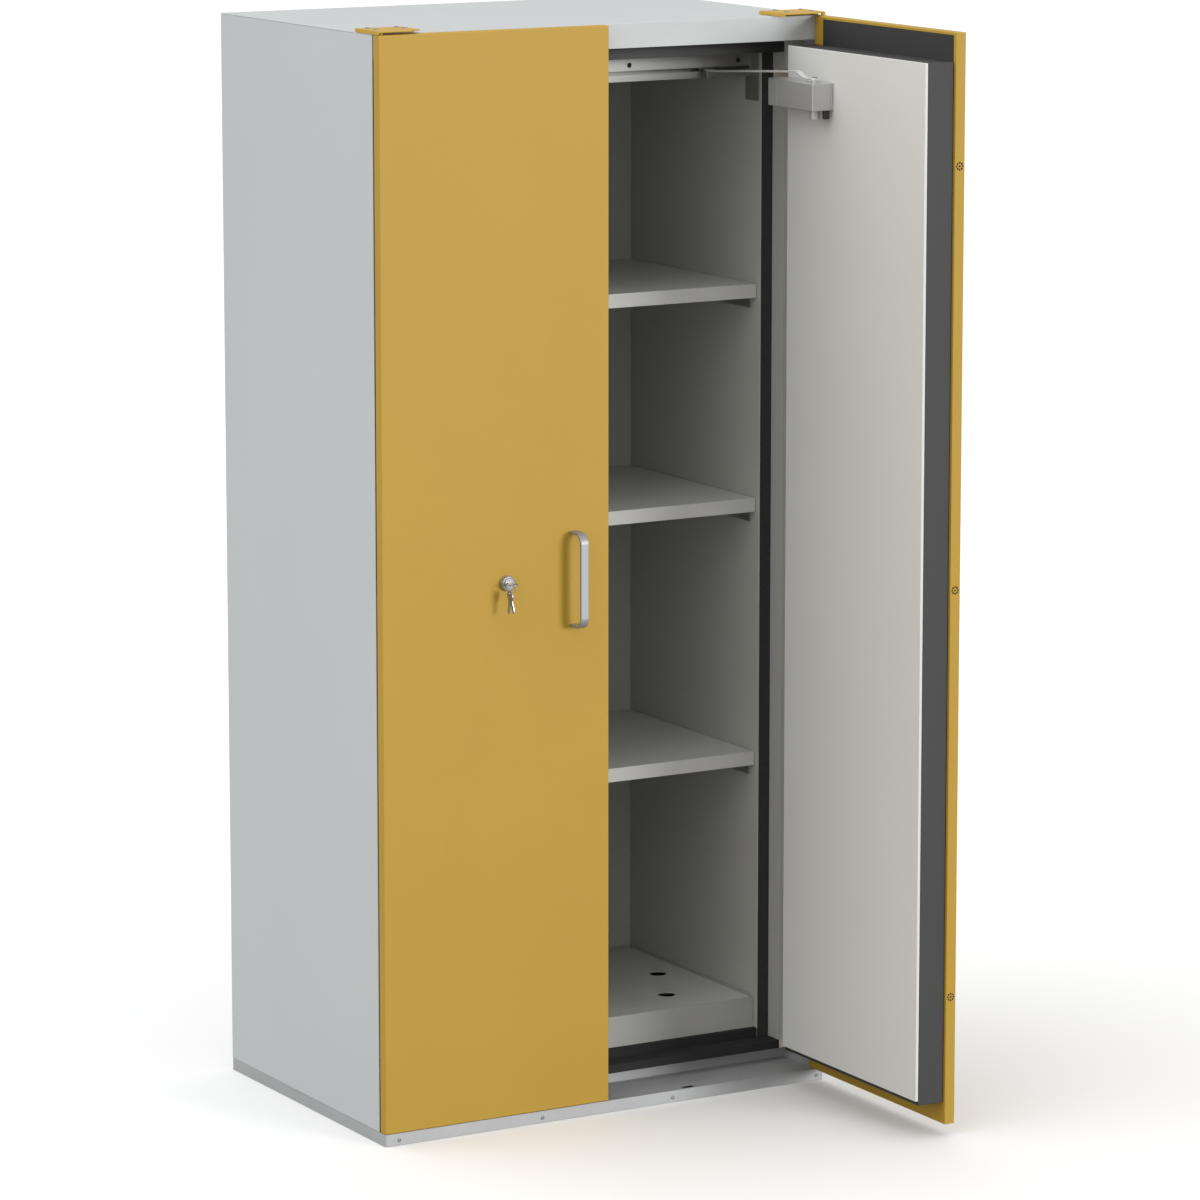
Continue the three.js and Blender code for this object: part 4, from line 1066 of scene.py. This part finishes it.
# --------------------------------------------------------------------------- lock
@dataclass
class LockSet:
    """Rosette, plug, the key in it and the ring with two spare keys."""

    front: float = -309.4
    face: float = -300.7
    rosette_radius: float = 13.5
    plug_hole: float = 9.3
    plug_radius: float = 9.0
    plug_back: float = -291.6
    plug_nose: float = 1.2
    cam: tuple[float, float, float] = (5.0, 2.8, 15.0)
    keyway: tuple[float, float] = (4.2, 1.5)
    lean: float = 7.0
    bow: float = 9.5
    blade: float = 3.6
    blade_end: float = 30.0
    inserted: float = 24.0
    bow_out: float = 13.0
    ring_radius: float = 8.0
    wire: float = 0.75
    hole: float = 2.8
    hole_drop: float = 5.8
    sag: float = 1.8
    ring_offset: float = 7.2
    ring_drop: float = 3.5

    def rosette(self) -> None:
        """Domed round cover with a stepped rim."""
        x, z = LOCK_CENTRE
        wide, face, front, hole = self.rosette_radius, self.face, self.front, self.plug_hole
        skirt = [(wide, face), (wide, face - 3.2), (wide - 0.3, face - 3.6), (wide - 0.6, face - 3.7)]
        dome = [(wide - 0.6, front + 1.3), (wide - 0.9, front + 0.6), (wide - 1.5, front + 0.15),
                (wide - 2.1, front), (wide - 2.6, front + 0.05), (wide - 2.9, front + 0.5)]
        throat = [(hole - 0.4, front + 0.5), (hole - 0.4, face - 0.2)]
        shape = Workpiece().turned([*skirt, *dome, *throat], (x, 0, z), "y", 64)
        shape.cut(Workpiece().turned([(hole, front - 3), (hole, face + 3)], (x, 0, z), "y", 64))
        shape.piece("lock_rosette_cover", Finish.NICKEL, "left_door", "lock_nickel", ["lock_rosette"],
                    edge=0.15)

    def plug(self) -> None:
        """Turning plug with its keyway and cam."""
        x, z = LOCK_CENTRE
        nose, wide, back = self.front - self.plug_nose, self.plug_radius, self.plug_back
        profile = [(wide - 0.9, nose), (wide - 0.3, nose + 0.3), (wide, nose + 0.9), (wide, back)]
        shape = Workpiece().turned(profile, (x, 0, z), "y", 56)
        half, thick, reach = self.cam
        shape.weld(Workpiece().block((x - half, back - thick, z), (x + half, back, z + reach)))
        dish = Workpiece().turned([(6.6, nose - 1), (6.6, nose + 0.35)], (x, 0, z), "y", 48)
        shape.cut(dish)
        across, high = self.keyway
        shape.cut(Workpiece().block((x - across, nose - 3, z - high), (x + across, nose + 15, z + high)))
        shape.piece("lock_plug_face", Finish.NICKEL, "lock_plug", "lock_nickel", ["lock_plug"], edge=0.12)

    def cut_key(self, short: bool) -> Workpiece:
        """A flat key in its own place, bow at the origin and blade along +y.

        Args:
            short: Ends the blade where it enters the plug's far part.

        Returns:
            The key.
        """
        end = self.inserted if short else self.blade_end
        start = math.degrees(math.asin(self.blade / self.bow))
        bits = [(self.blade, 13), (2.2, 14.5), (self.blade, 16), (self.blade, 18), (1.9, 19.5), (1.9, 21)]
        bits += [] if short else [(self.blade, 22.5), (2.4, 24), (self.blade, 25.5)]
        shoulder = end - (1 if short else 4)
        outline = [(self.blade, self.bow * math.cos(math.radians(start))), *bits,
                   (self.blade * 0.4, end), (-self.blade * 0.4, end), (-self.blade, shoulder)]
        outline += arc((0, 0), self.bow, 90 + start, 450 - start, 40)[:-1]
        shape = Workpiece().prism(outline, "z", -1, 1)
        shape.cut(Workpiece().turned([(self.hole, -3), (self.hole, 3)], (0, -self.hole_drop, 0), "z", 28))
        for side in (-1, 1):
            shape.cut(Workpiece().block((-0.9, self.bow + 2, side * 0.65), (0.9, end - 3, side * 2)))
            inside = self.bow - 2.2
            rim = Workpiece().turned([(inside, 0.75 * side), (inside, 2 * side)], (0, 0, 0), "z", 40)
            boss = [(4.2, 0.2 * side), (4.2, 3 * side)]
            rim.cut(Workpiece().turned(boss, (0, -self.hole_drop, 0), "z", 32))
            shape.cut(rim)
        return shape

    def keys(self) -> None:
        """The key in the plug, the ring and the spare keys that hang from it."""
        x, z = LOCK_CENTRE
        bow_y = self.front - self.bow_out
        self.cut_key(True).moved(Matrix.Translation((x, bow_y, z))).piece(
            "key_in_lock", Finish.NICKEL, "lock_plug", "lock_nickel", ["key"], edge=0.2)
        hole_y = bow_y - self.hole_drop
        ring_x, ring_z = x - self.ring_offset, z - self.ring_drop
        loop = []
        for step in range(96):
            angle = 2 * math.pi * step / 96
            loop.append((ring_x + self.ring_radius * math.cos(angle), hole_y,
                         ring_z + self.ring_radius * math.sin(angle)))
        Workpiece().rod(loop, self.wire, 12, closed=True).piece(
            "key_ring_wire", Finish.NICKEL, "lock_plug", "lock_nickel", ["key_ring"], edge=0)
        hang = Matrix.Translation((ring_x, hole_y, ring_z - self.ring_radius))
        drop = (Matrix.Translation((0, 0, -self.hole_drop - self.sag)) @ Matrix.Rotation(math.pi / 2, 4, "Z")
                @ Matrix.Rotation(-math.pi / 2, 4, "X"))
        lean = Matrix.Rotation(math.radians(self.lean), 4, "Y") @ Matrix.Rotation(math.radians(-8), 4, "Z")
        self.cut_key(False).moved(hang @ lean @ drop).piece(
            "spare_key_front", Finish.NICKEL, "spare_key", "lock_nickel", ["spare_key"], edge=0.2)
        slant = Matrix.Rotation(math.radians(-5), 4, "Y") @ Matrix.Rotation(math.radians(-16), 4, "X")
        self.cut_key(False).moved(hang @ Matrix.Translation((-2.7, 0, 0.4)) @ slant @ drop).piece(
            "spare_key_back", Finish.NICKEL, "spare_key", "lock_nickel", edge=0.2)

    def build(self) -> None:
        """Makes the whole lock set."""
        self.rosette()
        self.plug()
        self.keys()


# --------------------------------------------------------------------------- studio
@dataclass
class Camera:
    """Long lens from the front left, a little above the cabinet's top."""

    place: Point = (-4.7846, -8.5383, 2.6659)
    yaw: float = 30.05
    pitch: float = 9.59
    lens: float = 165.6
    shift_y: float = -0.06

    def set_up(self) -> None:
        """Makes the camera and hands it to the scene."""
        data = bpy.data.cameras.new("camera")
        data.lens = self.lens
        data.sensor_width = 36.0
        data.shift_y = self.shift_y
        data.clip_end = 100.0
        thing = bpy.data.objects.new("camera", data)
        bpy.context.scene.collection.objects.link(thing)
        yaw, pitch = math.radians(self.yaw), math.radians(self.pitch)
        along = Vector((math.sin(yaw) * math.cos(pitch), math.cos(yaw) * math.cos(pitch), -math.sin(pitch)))
        thing.location = self.place
        thing.rotation_euler = along.to_track_quat("-Z", "Y").to_euler()
        bpy.context.scene.camera = thing


@dataclass
class Studio:
    """Pale floor, a white room that is brightest overhead and one large soft light in front."""

    walls: float = 0.02
    ceiling: float = 1.16
    left_wall: float = 1.38
    right_wall: float = 0.2
    back_wall: float = 0.2
    key: float = 0.57
    key_turn: float = 24.0
    key_lift: float = 8.0
    key_spread: float = 18.0
    floor_size: float = 80.0

    def floor(self) -> None:
        """Lays a plain pale floor."""
        shader = Shader("pale_floor", srgb(245, 245, 245), 0.9)
        dapple = shader.noise(2.0, 2)
        shader.feed("Base Color", shader.tint(dapple, srgb(244, 244, 244), srgb(246, 246, 246)))
        bounce = shader.node("ShaderNodeBsdfDiffuse", {}, {"Color": (*srgb(158, 158, 158), 1.0)})
        seen = shader.node("ShaderNodeLightPath", output="Is Camera Ray")
        pale = Socket(shader.tree, shader.surface.outputs[0])
        mixed = shader.node("ShaderNodeMixShader", {}, {0: seen, 1: bounce, 2: pale})
        shader.tree.links.new(mixed.output, shader.tree.nodes["Material Output"].inputs[0])
        mesh = bmesh.new()
        bmesh.ops.create_grid(mesh, x_segments=2, y_segments=2, size=self.floor_size / 2)
        data = bpy.data.meshes.new("floor")
        mesh.to_mesh(data)
        mesh.free()
        thing = bpy.data.objects.new("floor", data)
        bpy.context.scene.collection.objects.link(thing)
        thing.location.z = -0.0005
        data.materials.append(shader.material)

    def room_light(self) -> None:
        """Even light from the room's walls and ceiling, with a white backdrop."""
        world = bpy.data.worlds.new("room")
        world.use_nodes = True
        world.node_tree.nodes.clear()
        bench = NodeBench(world.node_tree)
        way = bench.node("ShaderNodeTexCoord", output="Generated")
        right, back, up = (bench.node("ShaderNodeSeparateXYZ", {}, {0: way}, output=place)
                           for place in range(3))
        level = (self.walls + up.positive() * self.ceiling + (0 - right).positive() * self.left_wall
                 + right.positive() * self.right_wall + back.positive() * self.back_wall)
        lit = bench.node("ShaderNodeBackground", {}, {"Color": (1, 1, 1, 1), "Strength": level})
        backdrop = bench.node("ShaderNodeBackground", {}, {"Color": (1, 1, 1, 1), "Strength": 1.0})
        seen = bench.node("ShaderNodeLightPath", output="Is Camera Ray")
        mixed = bench.node("ShaderNodeMixShader", {}, {0: seen, 1: lit, 2: backdrop})
        bench.node("ShaderNodeOutputWorld", {}, {0: mixed})
        bpy.context.scene.world = world

    def key_light(self) -> None:
        """One large soft light from the front, a little to the right."""
        data = bpy.data.lights.new("front_key", "SUN")
        data.energy = self.key * math.pi
        data.angle = math.radians(self.key_spread)
        thing = bpy.data.objects.new("front_key", data)
        turn, lift = math.radians(self.key_turn), math.radians(self.key_lift)
        towards = Vector((math.sin(turn) * math.cos(lift), -math.cos(turn) * math.cos(lift), math.sin(lift)))
        thing.location = towards * 8
        thing.rotation_euler = (-towards).to_track_quat("-Z", "Y").to_euler()
        bpy.context.scene.collection.objects.link(thing)

    def set_up(self) -> None:
        """Lights the whole stage."""
        self.floor()
        self.room_light()
        self.key_light()
        scene = bpy.context.scene
        scene.view_settings.view_transform = "Standard"
        scene.view_settings.look = "None"


def hangings() -> list[Hanging]:
    """Both doors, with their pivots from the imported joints."""
    joints = {joint["name"]: joint for joint in frame["joints"]}
    doors = []
    for side, sign, opened in (("left", -1, 0.0), ("right", 1, 90.0)):
        pivot = joints[f"{side}_door_hinge"]["pos_m"]
        doors.append(Hanging(side, sign, (pivot[0], pivot[1]), opened))
    return doors


def main() -> None:
    """Builds everything in order."""
    logging.basicConfig(level=logging.INFO, format="%(message)s")
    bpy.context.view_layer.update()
    Camera().set_up()
    Studio().set_up()
    Carcass().dress()
    Screws().build()
    for hung in hangings():
        DoorPan(hung).build()
        PullHandle(hung).build()
        closer = DoorCloser(hung)
        closer.housing()
        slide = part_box(f"arm_slider_{hung.side}")
        slide_x = (slide[0][0] + slide[1][0]) / 2 / MM
        closer.arm(slide_x)
        closer.slider(slide_x)
    LockSet().build()


if __name__ == "__main__":
    main()
